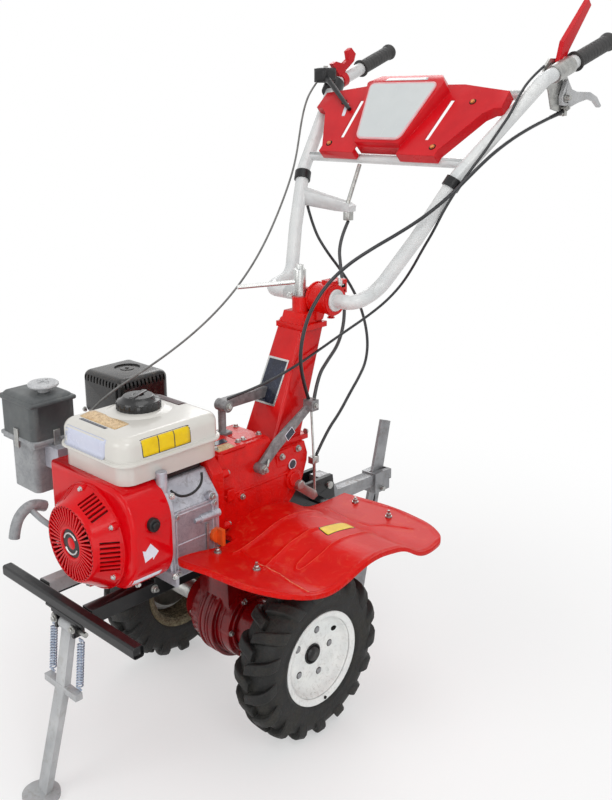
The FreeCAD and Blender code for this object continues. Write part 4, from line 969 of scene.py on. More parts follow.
def makeBlockTrim():
    alloy, bolts = shapes(2)
    left, right, way = block["left"], block["right"], (0, 1, 0)
    addAll(alloy, addBlock, *block["blocks"])
    addAll(alloy, addRod, *block["rods"])
    for x, z in block["coverBolts"]:
        addRod(alloy, (x, left, z), (x, left + 7, z), 8, 16)
        addBolts(bolts, way, 4.6, 4.5, [(x, left + 6.6, z)], washer=False)
    addBolts(bolts, way, 5, 5, [(152, left + 7.6, 548)])
    addBolts(bolts, way, 6, 10, [(176, left + 14, 414)], 8)
    addRod(bolts, *block["sideRod"], 2.4, 10)
    addBolts(bolts, (0, 0, 1), 6, 6, block["feet"], 4)
    for z in (470, 530):
        addRod(alloy, (150, right - 10, z), (150, right + 4, z), 9, 16)
        addBolts(bolts, (0, -1, 0), 5, 5, [(150, right - 9.6, z)])
    # a darker alloy plate behind the cover ribs: painted shade in the recess
    build("blockPaintedShade", "alloyShade", (addBlock, *block["shade"]))
    finishMesh("blockTrim", alloy, "alloy", soft=(1.2, 2))
    finishMesh("blockBolts", bolts, "zinc", smooth=30)
    tubePiece("blockHose", block["hose"], 2.6, "blackPlastic")


cylinder = {
    "base": (192, 0, 500), "lean": 25,
    # half width, from and to along the cylinder
    "slabs": [(46, 60, 176), *((52, 86 + 9.5 * k, 89.5 + 9.5 * k) for k in range(9)),
              (48, 176, 190), *((50, 178 + 7 * k, 181 + 7 * k) for k in range(3))],
}


def makeCylinder():
    base, lean = Vector(cylinder["base"]), math.radians(cylinder["lean"])
    out = Vector((0, -math.cos(lean), math.sin(lean)))
    up = Vector((0, math.sin(lean), math.cos(lean)))
    across = Vector((1, 0, 0))
    leaning = axes(across, up, out)
    shape, cover, bolts = shapes(3)
    for half, low, high in cylinder["slabs"]:
        addBlock(shape, (-half, -half, low), (half, half, high))
    settle(shape, shape.verts, base, leaning)
    finishMesh("cylinderFins", shape, "alloy", soft=(0.8, 1))
    settle(cover, addBlock(cover, (-42, -40, 196), (42, 40, 219)), base, leaning)
    finishMesh("valveCover", cover, "alloy", soft=(7, 4))
    addBolts(bolts, out, 4.6, 4.5, [base + across * a + up * b + out * 218.5
                                    for a in (-34, 34) for b in (-32, 32)])
    plug = base + out * 200 + up * 44
    addRod(bolts, plug, plug + up * 22, 8, 6)
    addRod(bolts, plug + up * 20, plug + up * 40, 5, 14)
    finishMesh("coverBolts", bolts, "zinc", smooth=30)
    build("plugCap", "blackPlastic", (addRod, plug + up * 34, plug + up * 58, 9, 18, 7),
          soft=(2, 3))
    tubePiece("plugLead", [plug + up * 54, plug + up * 74, plug + up * 84 + Vector((14, 24, 0)),
                           (236, -120, 618), (262, -96, 606)], 3.2, "blackPlastic")


makeBlockTrim()
reskin("engine_cylinder", "alloy", (1, 2))
makeCylinder()
print("engine block made")

shroud = {
    "back": 270, "flatSide": 128, "height": 506, "backing": 0.95,
    "strip": [(290, 434), (358, 434), (358, 444), (290, 444)],
    "arrow": [(336, 478), (341, 503), (334, 500), (322, 512), (304, 491), (318, 478), (318, 484)],
    "switch": [(addRod, (315, 122, 548), (315, 136.5, 548), 13.6, 28, 12.4),
               (addRod, (315, 136, 548), (315, 141, 548), 7.5, 24, 6.6)],
    "edge": ((255, 40, 396), (262, 124, 420)),
    "bolts": [((330, 128, 418), 1), ((268, 128, 424), 1), ((268, 128, 590), 1),
              ((268, -142, 590), -1), ((340, -142, 450), -1)],
}


def makeShroud():
    shape, backing = copied("fan_shroud"), copied("fan_shroud")
    for half, way in ((shape, -1), (backing, 1)):
        cutPlane(half, (shroud["back"] * mm, 0, 0), (way, 0, 0), True)
    for vert in shape.verts:  # the side is flat behind the stop switch
        vert.co.y = min(vert.co.y, shroud["flatSide"] * mm)
    piece = finishMesh("shroudSkin", shape, "shroudRed", "fan_shroud", smooth=40, soft=(3, 3, 50),
                       tidy=False)
    high, share = shroud["height"] * mm, shroud["backing"]
    for vert in backing.verts:
        vert.co.y *= share
        vert.co.z = high + (vert.co.z - high) * share
    finishMesh("shroudBacking", backing, "alloy", smooth=40, soft=(2, 2, 50), tidy=False)
    return piece


shroudSkin = makeShroud()
starter = {
    "front": 360, "height": 500, "ribs": 44, "cone": ((103, 6), (79.5, 47)), "pitch": 9.2,
    "slot": (37, 4.8), "groups": [(62, 6), (-4, 7), (128, 6), (184, 7)],
    "bolts": [30, 95, 156, 214, 268, 328], "boltCircle": 98, "pad": 15,
    "rib": ((408, -1.7, 533), (413.6, 1.7, 574)),
    "arcs": (35, 215), "arc": (21, 52.2, 9, 126),  # radius, depth, step and whole angle
    "hub": [(28, 44), (35, 44), (35, 53), (33.5, 54), (30.5, 54), (29, 52.5), (28, 50)],
    "mesh": [(0, 40), (70, 38), (93, 6), (93, 4), (0, 4)],
    "disc": [(0, 46), (0, 51.5), (24, 51.5), (29, 50.5), (29, 46)],
    "centre": [(0, 50), (0, 53.2), (9, 53), (12, 51.5), (12, 50)],
}


def onStarter(radius, angle, depth):
    turn = math.radians(angle)
    return Vector((starter["front"] + depth, radius * math.cos(turn),
                   starter["height"] + radius * math.sin(turn)))


def spinStarter(name, profile, paint, steps, replaces=(), smooth=38, closed=False, soft=None):
    shape = spin(profile, (starter["front"], 0, starter["height"]), (1, 0, 0), steps, closed)
    return finishMesh(name, shape, paint, replaces, smooth=smooth, soft=soft)


def makeStarter():
    (wide, foot), (narrow, top) = starter["cone"]
    shell = [(wide + 3, -2), (wide + 3, foot - 1), (wide + 1.5, foot + 1), (wide, foot),
             (narrow, top), (77.5, 51), (74.5, 53.6), (71.5, 53.6), (71.5, 50), (74, 46),
             (narrow - 4.5, top - 4), (wide - 5, foot - 3), (wide - 5, -2)]
    piece = spinStarter("starterShell", shell, "shroudRed", 120, "recoil_starter", 35, True)
    cutter = bmesh.new()
    long, thick = (size / 2 for size in starter["slot"])
    for angle, count in starter["groups"]:
        turn = math.radians(angle)
        out = Vector((0, math.cos(turn), math.sin(turn)))
        way = Vector((0, -math.sin(turn), math.cos(turn)))
        down = (Vector((foot - top, 0, 0)) + out * (wide - narrow)).normalized()
        for k in range(count):
            at = onStarter((wide + narrow) / 2 - 2, angle, (foot + top) / 2)
            at += way * (k - (count - 1) / 2) * starter["pitch"]
            made = addBlock(cutter, (-long, -thick, -15), (long, thick, 15))
            settle(cutter, made, at, axes(down, way, down.cross(way)))
    carve(piece, cutter)
    soften(piece, 0.8)
    ribs, arcs, bolts, pads = shapes(4)
    for k in range(starter["ribs"]):
        addBlock(ribs, *starter["rib"], rotation(-360 * k / starter["ribs"], "X"),
                 (starter["front"], 0, starter["height"]))
    finishMesh("starterRibs", ribs, "shroudRed")
    spinStarter("starterHub", starter["hub"], "shroudRed", 64, closed=True, soft=(0.6, 2))
    spinStarter("starterMesh", starter["mesh"], "darkMesh", 64)
    spinStarter("starterDisc", starter["disc"], "blackPlastic", 48)
    radius, depth, step, whole = starter["arc"]
    for first in starter["arcs"]:
        for angle in range(first, first + whole, step):
            addRod(arcs, onStarter(radius, angle, depth), onStarter(radius, angle + step, depth),
                   2.2, 10)
    finishMesh("starterArcs", arcs, "brightZinc")
    spinStarter("starterCentre", starter["centre"], "shroudRed", 32)
    for angle in starter["bolts"]:
        at = onStarter(starter["boltCircle"], angle, 2)
        addRod(pads, at, at + Vector((starter["pad"], 0, 0)), 9, 20, 7.5)
        addBolts(bolts, (1, 0, 0), 4.2, 4, [at + Vector((starter["pad"] - 0.4, 0, 0))])
    finishMesh("starterPads", pads, "shroudRed", soft=(1.2, 2))
    finishMesh("starterBolts", bolts, "brightZinc", smooth=30)


def makeShroudTrim():
    tree = surfaceOf(shroudSkin)
    bolts = bmesh.new()
    build("stopSwitch", "blackPlastic", *shroud["switch"], soft=(1.5, 3))
    stickOn("shroudStrip", [(x, 120, z) for x, z in shroud["strip"]], (0, 1, 0.2), tree,
            "whiteLabel", (16, 4), corner=0.05)
    build("shroudPlate", "whiteLabel",
          (sheetOf, [(x, 127.9, z) for x, z in shroud["arrow"]], (0, 1, 0), 0.5))
    for at, side in shroud["bolts"]:
        addBolts(bolts, (0, side, 0), 4.8, 5, [onSurface(tree, at, (0, side, 0), 0) / mm])
    finishMesh("shroudBolts", bolts, "brightZinc", smooth=30)
    build("shroudEdge", "alloy", (addBlock, *shroud["edge"]))


makeStarter()
makeShroudTrim()
starterGrip = {
    "bar": [(446, -152, 472), (441, -152, 500), (421, -152, 524), (394, -152, 529),
            (372, -152, 517)],
    "neck": [(406, -147, 521), (404, -124, 512), (403, -98, 507), (403, -66, 506)],
    "barRadius": 11.5, "neckRadius": 6,
}
tubePiece("starterGripBar", starterGrip["bar"], starterGrip["barRadius"], "bowlGrey",
          "starter_grip", soft=(4, 3, 50))
tubePiece("starterGripNeck", starterGrip["neck"], starterGrip["neckRadius"], "bowlGrey")
print("shroud and starter made")

tank = {
    "cap": (205, -45, 706), "ribs": 24, "tubBelow": 645, "tubDrop": 17, "bossLength": 1.12,
    "lip": ((93, -130, 652.6), (353, 94, 658.4)), "lipCorner": 38,
    "boss": [(0, -2), (66, -2), (60, 1.5), (50, 4.2), (47, 4.6), (0, 4.6)],
    "capProfile": [(0, 1), (44, 1), (44.8, 3), (44.8, 17), (42.5, 21), (36, 24), (33, 27),
                   (30, 30.4), (12, 31), (10, 29), (0, 29)],
    "sideLabels": [  # name, corners, paint, cells, lift
        ("Edge", [(299.6, 663.6), (182.4, 663.6), (184.4, 699.4), (302.6, 699.4)], "darkLabel",
         (12, 6), 0.25),
        ("Plate", [(298, 665), (184, 665), (186, 698), (301, 698)], "yellowLabel", (12, 6), 0.55),
        ("Line0", [(262, 665), (260, 665), (261, 698), (263, 698)], "darkLabel", (2, 6), 0.8),
        ("Line1", [(224, 665), (222, 665), (223, 698), (225, 698)], "darkLabel", (2, 6), 0.8)],
    "topLabels": [  # name, corners, paint, corner rounding
        ("TopPlate", [(311, -98), (311, 20), (272, 14), (270, -112)], "creamLabel", 0.06),
        ("TopStrip", [(322, -84), (322, 2), (314, 2), (314, -84)], "darkLabel", 0.05),
        ("BackPlate", [(134, -112), (134, -6), (112, -6), (112, -112)], "maroonLabel", 0.05)],
}


def makeTank():
    shape = copied("fuel_tank")
    for vert in shape.verts:  # the tub hangs down to the shroud
        if vert.co.z < tank["tubBelow"] * mm:
            vert.co.z -= tank["tubDrop"] * mm
    return finishMesh("tankSkin", shape, "tankCream", "fuel_tank", smooth=50, soft=(1.2, 2),
                      tidy=False)


def makeTankLip():
    shape = bmesh.new()
    addBlock(shape, *tank["lip"])
    upright = [edge for edge in shape.edges
               if abs(edge.verts[0].co.z - edge.verts[1].co.z) > 0.001]
    roundEdges(shape, upright, tank["lipCorner"], 10)
    finishMesh("tankLip", shape, "tankCream", soft=(1.4, 3))


def makeTankTrim(tree):
    x, y, z = tank["cap"]
    boss = spin(tank["boss"], (x, y, z), (0, 0, 1), 64, False)
    for vert in boss.verts:
        vert.co.x = x * mm + (vert.co.x - x * mm) * tank["bossLength"]
    finishMesh("tankBoss", boss, "tankCream", smooth=60)
    cap = spin(tank["capProfile"], (x, y, z), (0, 0, 1), 72, False)
    for k in range(tank["ribs"]):
        addBlock(cap, (x + 42.5, y - 2.4, z + 3), (x + 45.6, y + 2.4, z + 19),
                 rotation(360 * k / tank["ribs"], "Z"), (x, y, z + 11))
    finishMesh("capSkin", cap, "capBlack", "fuel_cap", smooth=30, soft=(0.7, 2))
    build("capGrip", "capBlack", (addBlock, (x - 30, y - 6, z + 27), (x + 30, y + 6, z + 33.5),
                                  rotation(25, "Z"), (x, y, z + 30)), soft=(2.5, 3))
    stickOn("tankFrontPlate", [(347, -100, 659), (347, 33, 659), (347, 38, 699), (347, -93, 699)],
            (1, 0, 0), tree, "plateBlue", corner=0.06)
    for name, corners, paint, cells, lift in tank["sideLabels"]:
        stickOn("tankSide" + name, [(a, 88, b) for a, b in corners], (0, 1, 0), tree, paint, cells,
                lift, 0.05)
    for name, corners, paint, corner in tank["topLabels"]:
        stickOn("tank" + name, [(a, b, 706) for a, b in corners], (0, 0, 1), tree, paint,
                corner=corner)


tankSkin = makeTank()
makeTankLip()
makeTankTrim(surfaceOf(tankSkin))
print("tank made")

fender = {
    "cell": 3.4, "low": (-308, 70), "high": (246, 392),
    "lines": [  # line, half width, height
        ([(137, 150), (97, 148), (55, 150), (0, 149), (-80, 148), (-130, 146)], 5.0, 3.4),
        ([(140, 238), (101, 226), (52, 222), (23, 225), (-2, 225), (-24, 230)], 5.0, 3.4),
        ([(44, 274), (73, 276), (90, 280), (99, 288), (97, 295), (79, 298), (41, 300), (9, 297),
          (-31, 298), (-84, 298), (-120, 300)], 4.0, 2.6),
        ([(116, 150), (122, 165), (133, 213), (131, 241), (133, 277), (143, 317), (148, 366)],
         3.0, 3.0),
        ([(-196, 105), (-186, 145), (-183, 180), (-190, 225), (-218, 247), (-246, 300)], 4.5, 2.2),
        ([(-60, 170), (-78, 176), (-86, 196)], 4.0, 1.8),
        ([(92, 110), (228, 110), (233, 182), (222, 284), (180, 358), (94, 383), (-60, 383),
          (-186, 381), (-249, 369), (-284, 314), (-299, 210), (-284, 110)], 4.0, 1.8)],
    "crest": (-108, 34, 7.0),  # place, spread, height
    "corner": (18, 9, 150, 200, 90),  # ahead, inward, where it begins along and across, reach
    "above": 420,
    "bolts": [(160, 130, 4), (154, 235, 7), (-266, 124, 4), (-257, 228, 7)],  # place, stud
    "labels": [
        ("Edge", [(-112, 230), (-24, 230), (-12, 268), (-103, 265)], "darkLabel", 0.3),
        ("", [(-110, 232), (-26, 232), (-15, 266), (-101, 263)], "yellowLabel", 0.6)],
}


def eased(share):
    share = max(0.0, min(1.0, share))
    return share * share * (3 - 2 * share)


def smoothRun(line):  # the points of a run, with three more between each two
    route = []
    for (ax, ay), (bx, by) in zip(line, line[1:]):
        route += [(ax + (bx - ax) * k / 4, ay + (by - ay) * k / 4) for k in range(4)]
    return route + [line[-1]]


def fenderLift(x, y):
    centre, spread, high = fender["crest"]
    lift = high * math.exp(-((x - centre) / spread) ** 2)
    raised = 0.0
    for line, half, high in fender["lines"]:
        away = nearLine((x, y), line) / half
        if away < 2:
            raised = max(raised, high * math.exp(-1.6 * away * away))
    return lift + raised


def makeFender(side):
    name, node = "fender" + sides[side], "fender_" + sides[side].lower()
    shape = copied(node, 0.05)
    for way, low, high, sign in zip((Vector((1, 0, 0)), Vector((0, 1, 0))), fender["low"],
                                    fender["high"], (1, side)):
        for k in range(1, int((high - low) / fender["cell"])):
            cutPlane(shape, way * (low + fender["cell"] * k) * mm * sign, way, reach=1e-7)
    ahead, inward, front, inner, reach = fender["corner"]
    for vert in shape.verts:
        x, y, z = vert.co / mm
        vert.co.z += fenderLift(x, abs(y)) * mm
        share = eased((x - front) / reach) * eased((inner - abs(y)) / reach)
        vert.co.x += ahead * share * mm
        vert.co.y -= math.copysign(inward * share * mm, y)
    tree = surfaceOf(finishMesh(name, shape, "fenderRed", node, smooth=60, tidy=False))

    def onFender(x, y, lift=0):
        return onSurface(tree, (x, side * y, fender["above"]), (0, 0, 1), lift, 90) / mm

    bolts = bmesh.new()
    for x, y, stud in fender["bolts"]:
        spot = onFender(x, y)
        addRod(bolts, spot, spot + Vector((0, 0, 2.0)), 7.6)
        addBolts(bolts, (0, 0, 1), 5.6, 6, [spot + Vector((0, 0, 1.8))], stud)
    finishMesh(name + "Bolts", bolts, "zinc", smooth=30)
    # thin pale rods along the crease and the ridges: painted highlights where they catch the light
    runs = [line for line, half, high in fender["lines"]]
    for part, lines, thick, paint in (("CreaseHighlight", [runs[3][2:]], 1.3, "wornRed"),
                                      ("RidgeHighlights", runs[:3], 1.0, "ridgeRed")):
        highlightLines = bmesh.new()
        for line in lines:
            route = [onFender(x, y, -thick * 0.45) for x, y in smoothRun(line)]
            for start, end in zip(route, route[1:]):
                addRod(highlightLines, start, end, thick, 8)
        finishMesh(name + part, highlightLines, paint, smooth=60)
    if side > 0:
        for part, corners, paint, lift in fender["labels"]:
            stickOn("fenderPlate" + part, [(x, y, 447) for x, y in corners], (0, 0, 1), tree, paint,
                    (30, 14), lift, 0.14)


for side in sides:
    makeFender(side)
reskin("fender_stays", "blackSteel", (1, 2))
print("fenders made")

column = {
    "foot": (-80, 568), "lean": 23, "plate": (-35, 19, 652, 742), "widerRight": 1.1,
    "clamp": (-250, 872), "clampRing": [(33, -3), (35.4, -2), (35.4, 2), (33, 3)],
    "headBolts": [(x, y, 820) for y in (-34, 30) for x in (-286, -196)],
    "zinc": [(addBolts, (0, 0, 1), 7.5, 7, [(-272, 67, 903)], 6),
             (addRod, (-272, 67, 880), (-272, 67, 906), 5, 14),
             (addBolts, (0, 0, 1), 7, 6, [(-272, 42, 903)], 4),
             (addBolts, (0, 0, 1), 6, 6, [(-206, -20, 876)])],
    "cap": [(addRod, (-250, 76.5, 872), (-250, 80.5, 872), 25, 40, 23),
            (addRod, (-250, 80, 872), (-250, 84, 872), 8, 20, 7)],
    "links": [(addBolts, (0, 1, 0), 7.5, 6, [(-14, 86, 548)], 4),
              (addBolts, (0, 1, 0), 5, 5, [(-171, 88, 652)]),
              (addRod, (-40, 74, 560), (-30, 80, 548), 3, 10),
              (addBolts, (0, 1, 0), 6, 5, [(4, 0, 672)])],
    "ears": [((-292, 34, 884), (-262, 68, 890)), ((-292, 34, 894), (-262, 68, 904))],
    "armPlate": (-118, -94, 593, 608, 33.5),  # from, to, low, high, turn
    "armPlates": [("Edge", 1.6, 73.8, "whiteLabel"), ("", 0, 74.3, "darkLabel")],
}


def makeColumn():
    shape = copied("handlebar_column", 0.0)
    for vert in shape.verts:
        if vert.co.y < 0:
            vert.co.y *= column["widerRight"]
    finishMesh("columnSkin", shape, "columnRed", "handlebar_column", smooth=40, soft=(2, 3, 50),
               tidy=False)


makeColumn()
reskin("column_head", "castRed", (2.2, 3), smooth=40)
reskin("column_lock", "brightZinc", (1.2, 2))
for node, paint in (("front_linkage", "castGrey"), ("clutch_arm", "castGrey"),
                    ("shift_lever_rear", "zinc")):
    reskin(node, paint, (1, 2))


def onColumn(y, z):
    x, low = column["foot"]
    return (x - (z - low) * math.tan(math.radians(column["lean"])), y, z)


def makeColumnTrim():
    slope = math.radians(column["lean"])
    left, right, low, high = column["plate"]
    edging, rings = shapes(2)
    for shape, grow, thick in ((edging, 4, 2.0), (bmesh.new(), 0, 2.6)):
        corners = [onColumn(y, z) for y, z in (
            (left - grow - 4, low - grow), (right + grow - 4, low - grow),
            (right + grow + 3, high + grow), (left - grow + 3, high + grow))]
        sheetOf(shape, corners, (math.cos(slope), 0, math.sin(slope)), thick)
    finishMesh("columnPlate", shape, "darkLabel", soft=(0.5, 2))
    build("headPlateBolts", "castRed", (addBolts, (0, 0, 1), 6.5, 7, column["headBolts"], 0, True,
                                        True), smooth=30)
    build("columnZinc", "brightZinc", (joined, edging), *column["zinc"], smooth=30)
    build("clampCap", "tubeWhite", *column["cap"], soft=(0.8, 3))
    x, z = column["clamp"]
    for y in (20, 70):
        joined(rings, spin(column["clampRing"], (x, y, z), (0, 1, 0)))
    addAll(rings, addBlock, *column["ears"])
    finishMesh("clampRings", rings, "castRed", soft=(1, 2))
    back, front, low, high, turn = column["armPlate"]
    for part, grow, lift, paint in column["armPlates"]:
        build("armPlate" + part, paint, (addBlock, (back - grow, 72, low - grow),
                                         (front + grow, lift, high + grow), rotation(turn, "Y")))
    build("linkBolts", "zinc", *column["links"], smooth=30)


makeColumnTrim()
print("column made")

muffler = {
    "low": (-4, -354, 610), "high": (134, -206, 714), "slots": 11, "slotTall": 15, "round": 18,
    "slotHalf": 2.4, "lean": 24, "cap": (53, -288),
    "pipe": [(150, -200, 585), (98, -200, 585), (66, -226, 588), (64, -238, 618)],
    "bolts": [(addBolts, (0, 1, 0), 4.6, 4, [(4, -206, 620), (126, -206, 620)]),
              (addBolts, (1, 0, 0), 4.6, 4, [(134, -346, 620), (134, -214, 620)])],
}


def makeMuffler():
    low, high, half, tall = (muffler[key] for key in ("low", "high", "slotHalf", "slotTall"))
    shape, cutter = shapes(2)
    addBlock(shape, low, high)
    roundEdges(shape, shape.edges[:], muffler["round"], 6)
    piece = finishMesh("mufflerBox", shape, "muffleBlack", "muffler", smooth=40)
    inset, last = muffler["round"] - 2, muffler["slots"] - 1
    level = high[2] - 16
    for k in range(last + 1):
        x, y = (near + inset + (far - near - 2 * inset) * k / last
                for near, far in zip(low[:2], high[:2]))
        addBlock(cutter, (x - half, high[1] - half - 3, level - tall / 2),
                 (x + half, high[1] + half + 9, level + tall / 2), rotation(-muffler["lean"], "X"))
        addBlock(cutter, (high[0] - half - 3, y - half, level - tall / 2),
                 (high[0] + half + 9, y + half, level + tall / 2), rotation(muffler["lean"], "Y"))
    x, y = muffler["cap"]
    addRod(cutter, (x, y, 711), (x, y, 720), 30, 40)
    carve(piece, cutter)
    soften(piece, 1.0, 2, 50)
    tubePiece("mufflerPipe", muffler["pipe"], 12.6, "muffleBlack")
    build("mufflerCentre", "muffleBlack", (addRod, (x, y, 709), (x, y, 712.2), 16, 24),
          (addBolts, (0, 0, 1), 5, 2.5, [(x, y, 711.5)], 0, False))
    build("mufflerBolts", "zinc", *muffler["bolts"], smooth=30)


makeMuffler()

cleaner = {
    "top": 712, "knob": (281, -275), "knobSize": 33,
    "blocks": [  # name, paint, soft edges, blocks
        ("cleanerLid", "cleanerGrey", (4.5, 4), ((230, -362, 694), (343, -228, 704))),
        ("cleanerBand", "bowlGrey", (3.5, 4), ((230, -362, 612), (342, -228, 622))),
        ("cleanerClips", "zinc", (0.8, 2), ((278, -230.5, 598), (294, -225.5, 640)),
         ((278, -364.5, 598), (294, -359.5, 640)), ((338, -304, 598), (343.5, -288, 640)))],
}


def makeCleaner():
    shape = copied("air_cleaner", 0.5)
    cutPlane(shape, (0, 0, (cleaner["top"] + 0.3) * mm), (0, 0, 1), True)
    finishMesh("cleanerCover", shape, "cleanerGrey", "air_cleaner", smooth=40, soft=(5, 4),
               tidy=False)


def makeCleanerTrim():
    x, y = cleaner["knob"]
    size, top = cleaner["knobSize"], cleaner["top"] + 7
    pale = bmesh.new()
    joined(pale, spin([(0, top - 9), (12, top - 9), (14, top + 5), (size - 3, top + 5),
                       (size, top + 7), (size, top + 11), (size - 4, top + 14),
                       (size - 8, top + 13.4), (12, top + 14.5), (0, top + 15)], (x, y, 0),
                      (0, 0, 1), 56, False))
    for turn in (20, 110):
        addBlock(pale, (x - 15, y - 2.2, top + 12), (x + 15, y + 2.2, top + 18),
                 rotation(turn, "Z"), (x, y, top))
    finishMesh("cleanerKnob", pale, "paleKnob", soft=(0.8, 2))
    for name, paint, soft, *blocks in cleaner["blocks"]:
        build(name, paint, *((addBlock, *block) for block in blocks), soft=soft)


makeCleaner()
reskin("air_cleaner_base", "bowlGrey", (4, 4), smooth=40)
makeCleanerTrim()
print("muffler and air cleaner made")

reskin("engine_bed", "blackSteel", (1, 2))
reskin("stand_bracket", "blackSteel", (1, 2))
reskin("stand_leg", "paleGrey", (1.6, 3), "stand", 40)

spring = {"top": (434, 329), "foot": (446, 220), "half": 46, "coil": 6.1, "wire": 1.6, "turns": 16,
          "steps": 16, "corners": 6, "hook": 9}


def makeSprings(side):
    top, foot = (Vector((x, side * spring["half"], z)) for x, z in (spring["top"], spring["foot"]))
    hook = spring["hook"]
    shape = bmesh.new()
    ring = bmesh.ops.create_circle(shape, segments=spring["corners"],
                                   radius=spring["wire"] * mm)["verts"]
    bmesh.ops.rotate(shape, verts=ring, cent=(0, 0, 0), matrix=Matrix.Rotation(math.pi / 2, 3, "X"))
    bmesh.ops.translate(shape, verts=ring, vec=(spring["coil"] * mm, 0, 0))
    steps = spring["turns"] * spring["steps"]
    rise = ((top - foot).length - 2 * hook) * mm / steps
    bmesh.ops.spin(shape, geom=shape.verts[:] + shape.edges[:], cent=(0, 0, 0), axis=(0, 0, 1),
                   dvec=(0, 0, rise), angle=2 * math.pi * spring["turns"], steps=steps)
    closeHoles(shape)
    settle(shape, shape.verts, foot + (top - foot).normalized() * hook, turned(top - foot))
    across = Vector((0, 6, 0))
    for end, other in ((top, foot), (foot, top)):
        way = (other - end).normalized()
        addRod(shape, end + way * 9.5, end + way * 3, 1.4, 8)
        addRod(shape, end + way * 4 - across, end + way * 4 + across, 2.2, 10)
    bmesh.ops.recalc_face_normals(shape, faces=shape.faces)
    finishMesh("spring" + sides[side], shape, "blueZinc", "stand_springs" if side > 0 else (),
               "stand", 50)


for side in sides:
    makeSprings(side)

bumper = {
    "x": (418, 441), "z": (362, 385), "half": 225, "wall": 3, "depth": 12,
    "strips": [(addBlock, (270, -119, 383.4), (412, -92, 385.2)),
               (addBlock, (270, -91.2, 358), (412, -89.2, 385.2))],
    "foot": (addBlock, (415.5, -62, 359), (442, 62, 365)),
    "zinc": [(addBolts, (0, 1, 0), 6.4, 6, [(268, 60, 372)], 5),
             (addBolts, (1, 0, 0), 6, 5, [(442, -30, 343), (442, 30, 343)]),
             (addRod, (429, -56, 336), (429, 56, 336), 5.2, 14)],
}


def makeBumper():
    shape = bmesh.new()
    (back, front), (low, high) = bumper["x"], bumper["z"]
    addBlock(shape, (back, -bumper["half"], low), (front, bumper["half"], high))
    ends = [face for face in shape.faces if abs(face.normal.y) > 0.9]
    bmesh.ops.inset_region(shape, faces=ends, thickness=bumper["wall"] * mm, use_even_offset=True)
    for face in ends:
        bmesh.ops.translate(shape, verts=list(face.verts), vec=-face.normal * bumper["depth"] * mm)
    finishMesh("bumperBar", shape, "blackSteel", "front_bumper", smooth=40, soft=(4.5, 4))


makeBumper()
build("railStrip", "paleGrey", *bumper["strips"], soft=(0.6, 2))
build("bumperFoot", "blackSteel", bumper["foot"], soft=(2, 3))
build("bumperZinc", "zinc", *bumper["zinc"], smooth=30)
print("bumper and stand made")

for node, paint, width in (("hitch_bracket", "blackSteel", 1), ("hitch_tongue", "steelGrey", 1.2),
                           ("hitch_pins", "zinc", 1), ("depth_blade", "steelGrey", 0.6)):
    reskin(node, paint, (width, 2))

barSkins = [  # node, paint, soft edges, smooth angle
    ("handlebar_tube_left", "tubeWhite", None, 40), ("handlebar_tube_right", "tubeWhite", None, 40),
    ("cross_tubes", "tubeWhite", None, 40), ("lever_bracket_left", "zinc", (0.8, 2), 32),
    ("lever_hand_left", "paleGrey", (2.2, 3), 32), ("red_levers", "panelRed", (2.2, 3), 32),
    ("throttle_box", "blackPlastic", (1.8, 3), 32),
]
for node, paint, soft, smooth in barSkins:
    reskin(node, paint, soft, "handlebar", smooth)
throttle = {
    "box": (addBlock, (-655, -323, 1331), (-607, -279, 1369)),
    "lever": [(addRod, (-628, -300, 1350), (-602, -256, 1331), 8, 16, 7),
              (addRod, (-602, -256, 1331), (-553, -150, 1267.5), 7, 16, 4.8)],
}
build("throttleBody", "blackPlastic", throttle["box"], body="handlebar", soft=(11, 5))
build("throttleLever", "blackPlastic", *throttle["lever"], body="handlebar")
reskin("shift_rod", "zinc", (0.8, 2), "handlebar")
reskin("cable_straps", "blackPlastic", (1.5, 2), "handlebar")
panelSkin = reskin("control_panel", "panelRed", (2.5, 4, 35), "handlebar", 40)
panel = {
    "low": (-498, 0, 1156), "along": (-190, 0, 187), "insert": (60, 20, 96, 170, 12),
    "insertHeight": 51.2, "insertSlope": 0.1287,
    "crown": [(-62, 181), (62, 181), (58, 193), (-58, 193)],
    "label": [(-158, 100), (-168, 100), (-180, 142), (-170, 142)],
    "screws": [(188, 146), (-188, 146), (152, 12), (-152, 12)],
}


def onPanel(across, along, out):  # a place in the handlebar's own plane
    way = Vector(panel["along"]).normalized()
    up = Vector((way.z, 0, -way.x))
    return Vector(panel["low"]) + Vector((0, across, 0)) + way * along + up * out


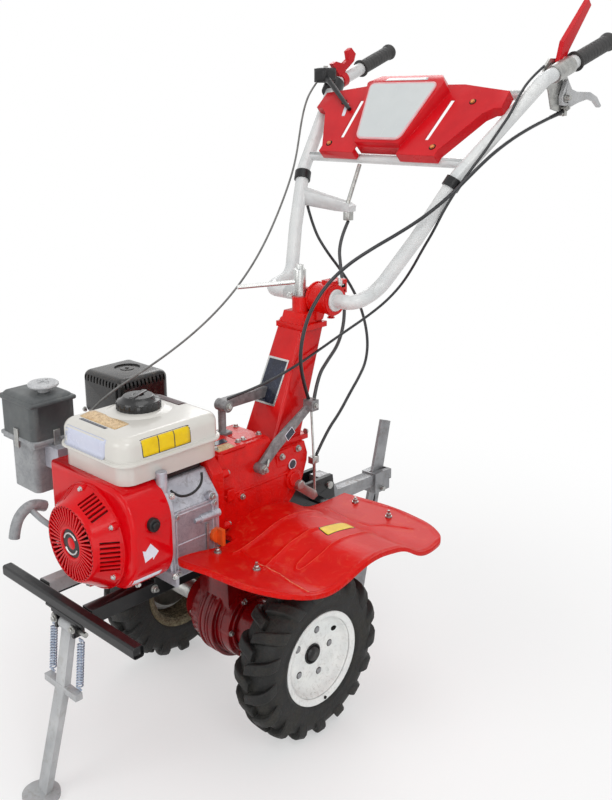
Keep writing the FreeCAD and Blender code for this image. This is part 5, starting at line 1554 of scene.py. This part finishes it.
def makePanelTrim():
    way = onPanel(0, 0, 1) - onPanel(0, 0, 0)
    tree = surfaceOf(panelSkin)
    halfLow, low, halfHigh, high, corner = panel["insert"]
    for name, paint, foot, top, grow, node in (
            ("insertEdge", "pinkEdge", -4, 0.8, 3.4, ()),
            ("insertFace", "insertGrey", -3, 1.0, -0.4, "panel_insert")):
        plate = bmesh.new()
        corners = [(-halfLow - grow, low - grow), (halfLow + grow, low - grow),
                   (halfHigh + grow, high + grow), (-halfHigh - grow, high + grow)]
        level = panel["insertHeight"] + foot
        sheetOf(plate, [onPanel(a, b, level + (b - 14) * panel["insertSlope"]) for a, b in corners],
                way, top - foot)
        upright = [edge for edge in plate.edges
                   if abs((edge.verts[1].co - edge.verts[0].co).normalized().dot(way)) > 0.95]
        roundEdges(plate, upright, corner + grow, 8)
        finishMesh(name, plate, paint, node, "handlebar", soft=(0.8, 2))
    stickOn("crownStrip", [onPanel(a, b, 72) for a, b in panel["crown"]], way, tree, "insertGrey",
            (16, 4), 0.4, 0.05, "handlebar")
    screws, wellShades = shapes(2)
    for across, along in panel["screws"]:
        spot = onSurface(tree, onPanel(across, along, 30), way, 0) / mm
        # a dark disc under each screw: painted shade in its well
        addRod(wellShades, spot - way * 0.8, spot + way * 0.4, 8.2, 24)
        addBolts(screws, way, 4.2, 3.4, [spot + way * 0.4], domed=True)
    finishMesh("panelWellShade", wellShades, "darkHole", (), "handlebar")
    finishMesh("panelScrews", screws, "brassZinc", (), "handlebar", 30)
    stickOn("panelPlate", [onPanel(a, b, 30) for a, b in panel["label"]], way, tree, "whiteLabel",
            (8, 6), 0.4, 0.1, "handlebar")


makePanelTrim()
grip = {
    "end": (-917, 322, 1411), "from": (-672, 305, 1328), "length": 140,
    "rings": 9, "pitch": 12.5, "first": 16,
    "start": [(16, 0), (22.5, 0), (23.2, 2), (22.8, 4.5), (18, 7)],
    "ring": [(18.1, -2), (18.6, 0), (18.6, 6.5), (18.1, 8.5)],
    "tip": [(18, 130), (21, 134), (21.6, 140), (19.5, 145.4), (8, 146), (0, 146)],
}


def makeGrips():
    end = Vector(grip["end"])
    way = (end - Vector(grip["from"])).normalized()
    rings = [(radius, grip["first"] + grip["pitch"] * k + at) for k in range(grip["rings"])
             for radius, at in grip["ring"]]
    profile = grip["start"] + rings + grip["tip"]
    for side in sides:
        mirror = Vector((1, side, 1))
        shape = spin(profile, end * mirror - way * mirror * grip["length"], way * mirror, 40, False)
        finishMesh("grip" + sides[side], shape, "gripRubber", "hand_grips" if side > 0 else (),
                   "handlebar", 50, (0.8, 2))


makeGrips()
levers = {
    "bolts": [(-776, 297, 1288), (-750, 303, 1368), (-716, 289, 1340), (-790, 289, 1266)],
    "ends": [(addRod, (-795, 288, 1252), (-782, 288, 1256), 6, 6),
             (addBolts, (0, 0, 1), 6, 5, [(-633, -301, 1367)])],
    "boot": [(addRod, (-788, 288, 1257), (-770, 286.6, 1252.5), 6.2, 18, 5),
             (addRod, (-770, 286.6, 1252.5), (-744, 284.6, 1246), 5, 18, 4.4)],
}


def leverBolts(shape):
    for x, y, z in levers["bolts"]:
        addBolts(shape, (0, 1, 0), 7, 6, [(x, y + 6, z)], 3)
        addRod(shape, (x, y - 4, z), (x, y + 7, z), 5, 14)


build("leverBolts", "zinc", (leverBolts,), *levers["ends"], body="handlebar", smooth=30)
build("cableBoot", "blackPlastic", *levers["boot"], body="handlebar")
print("handlebar made")


print("all pieces made")
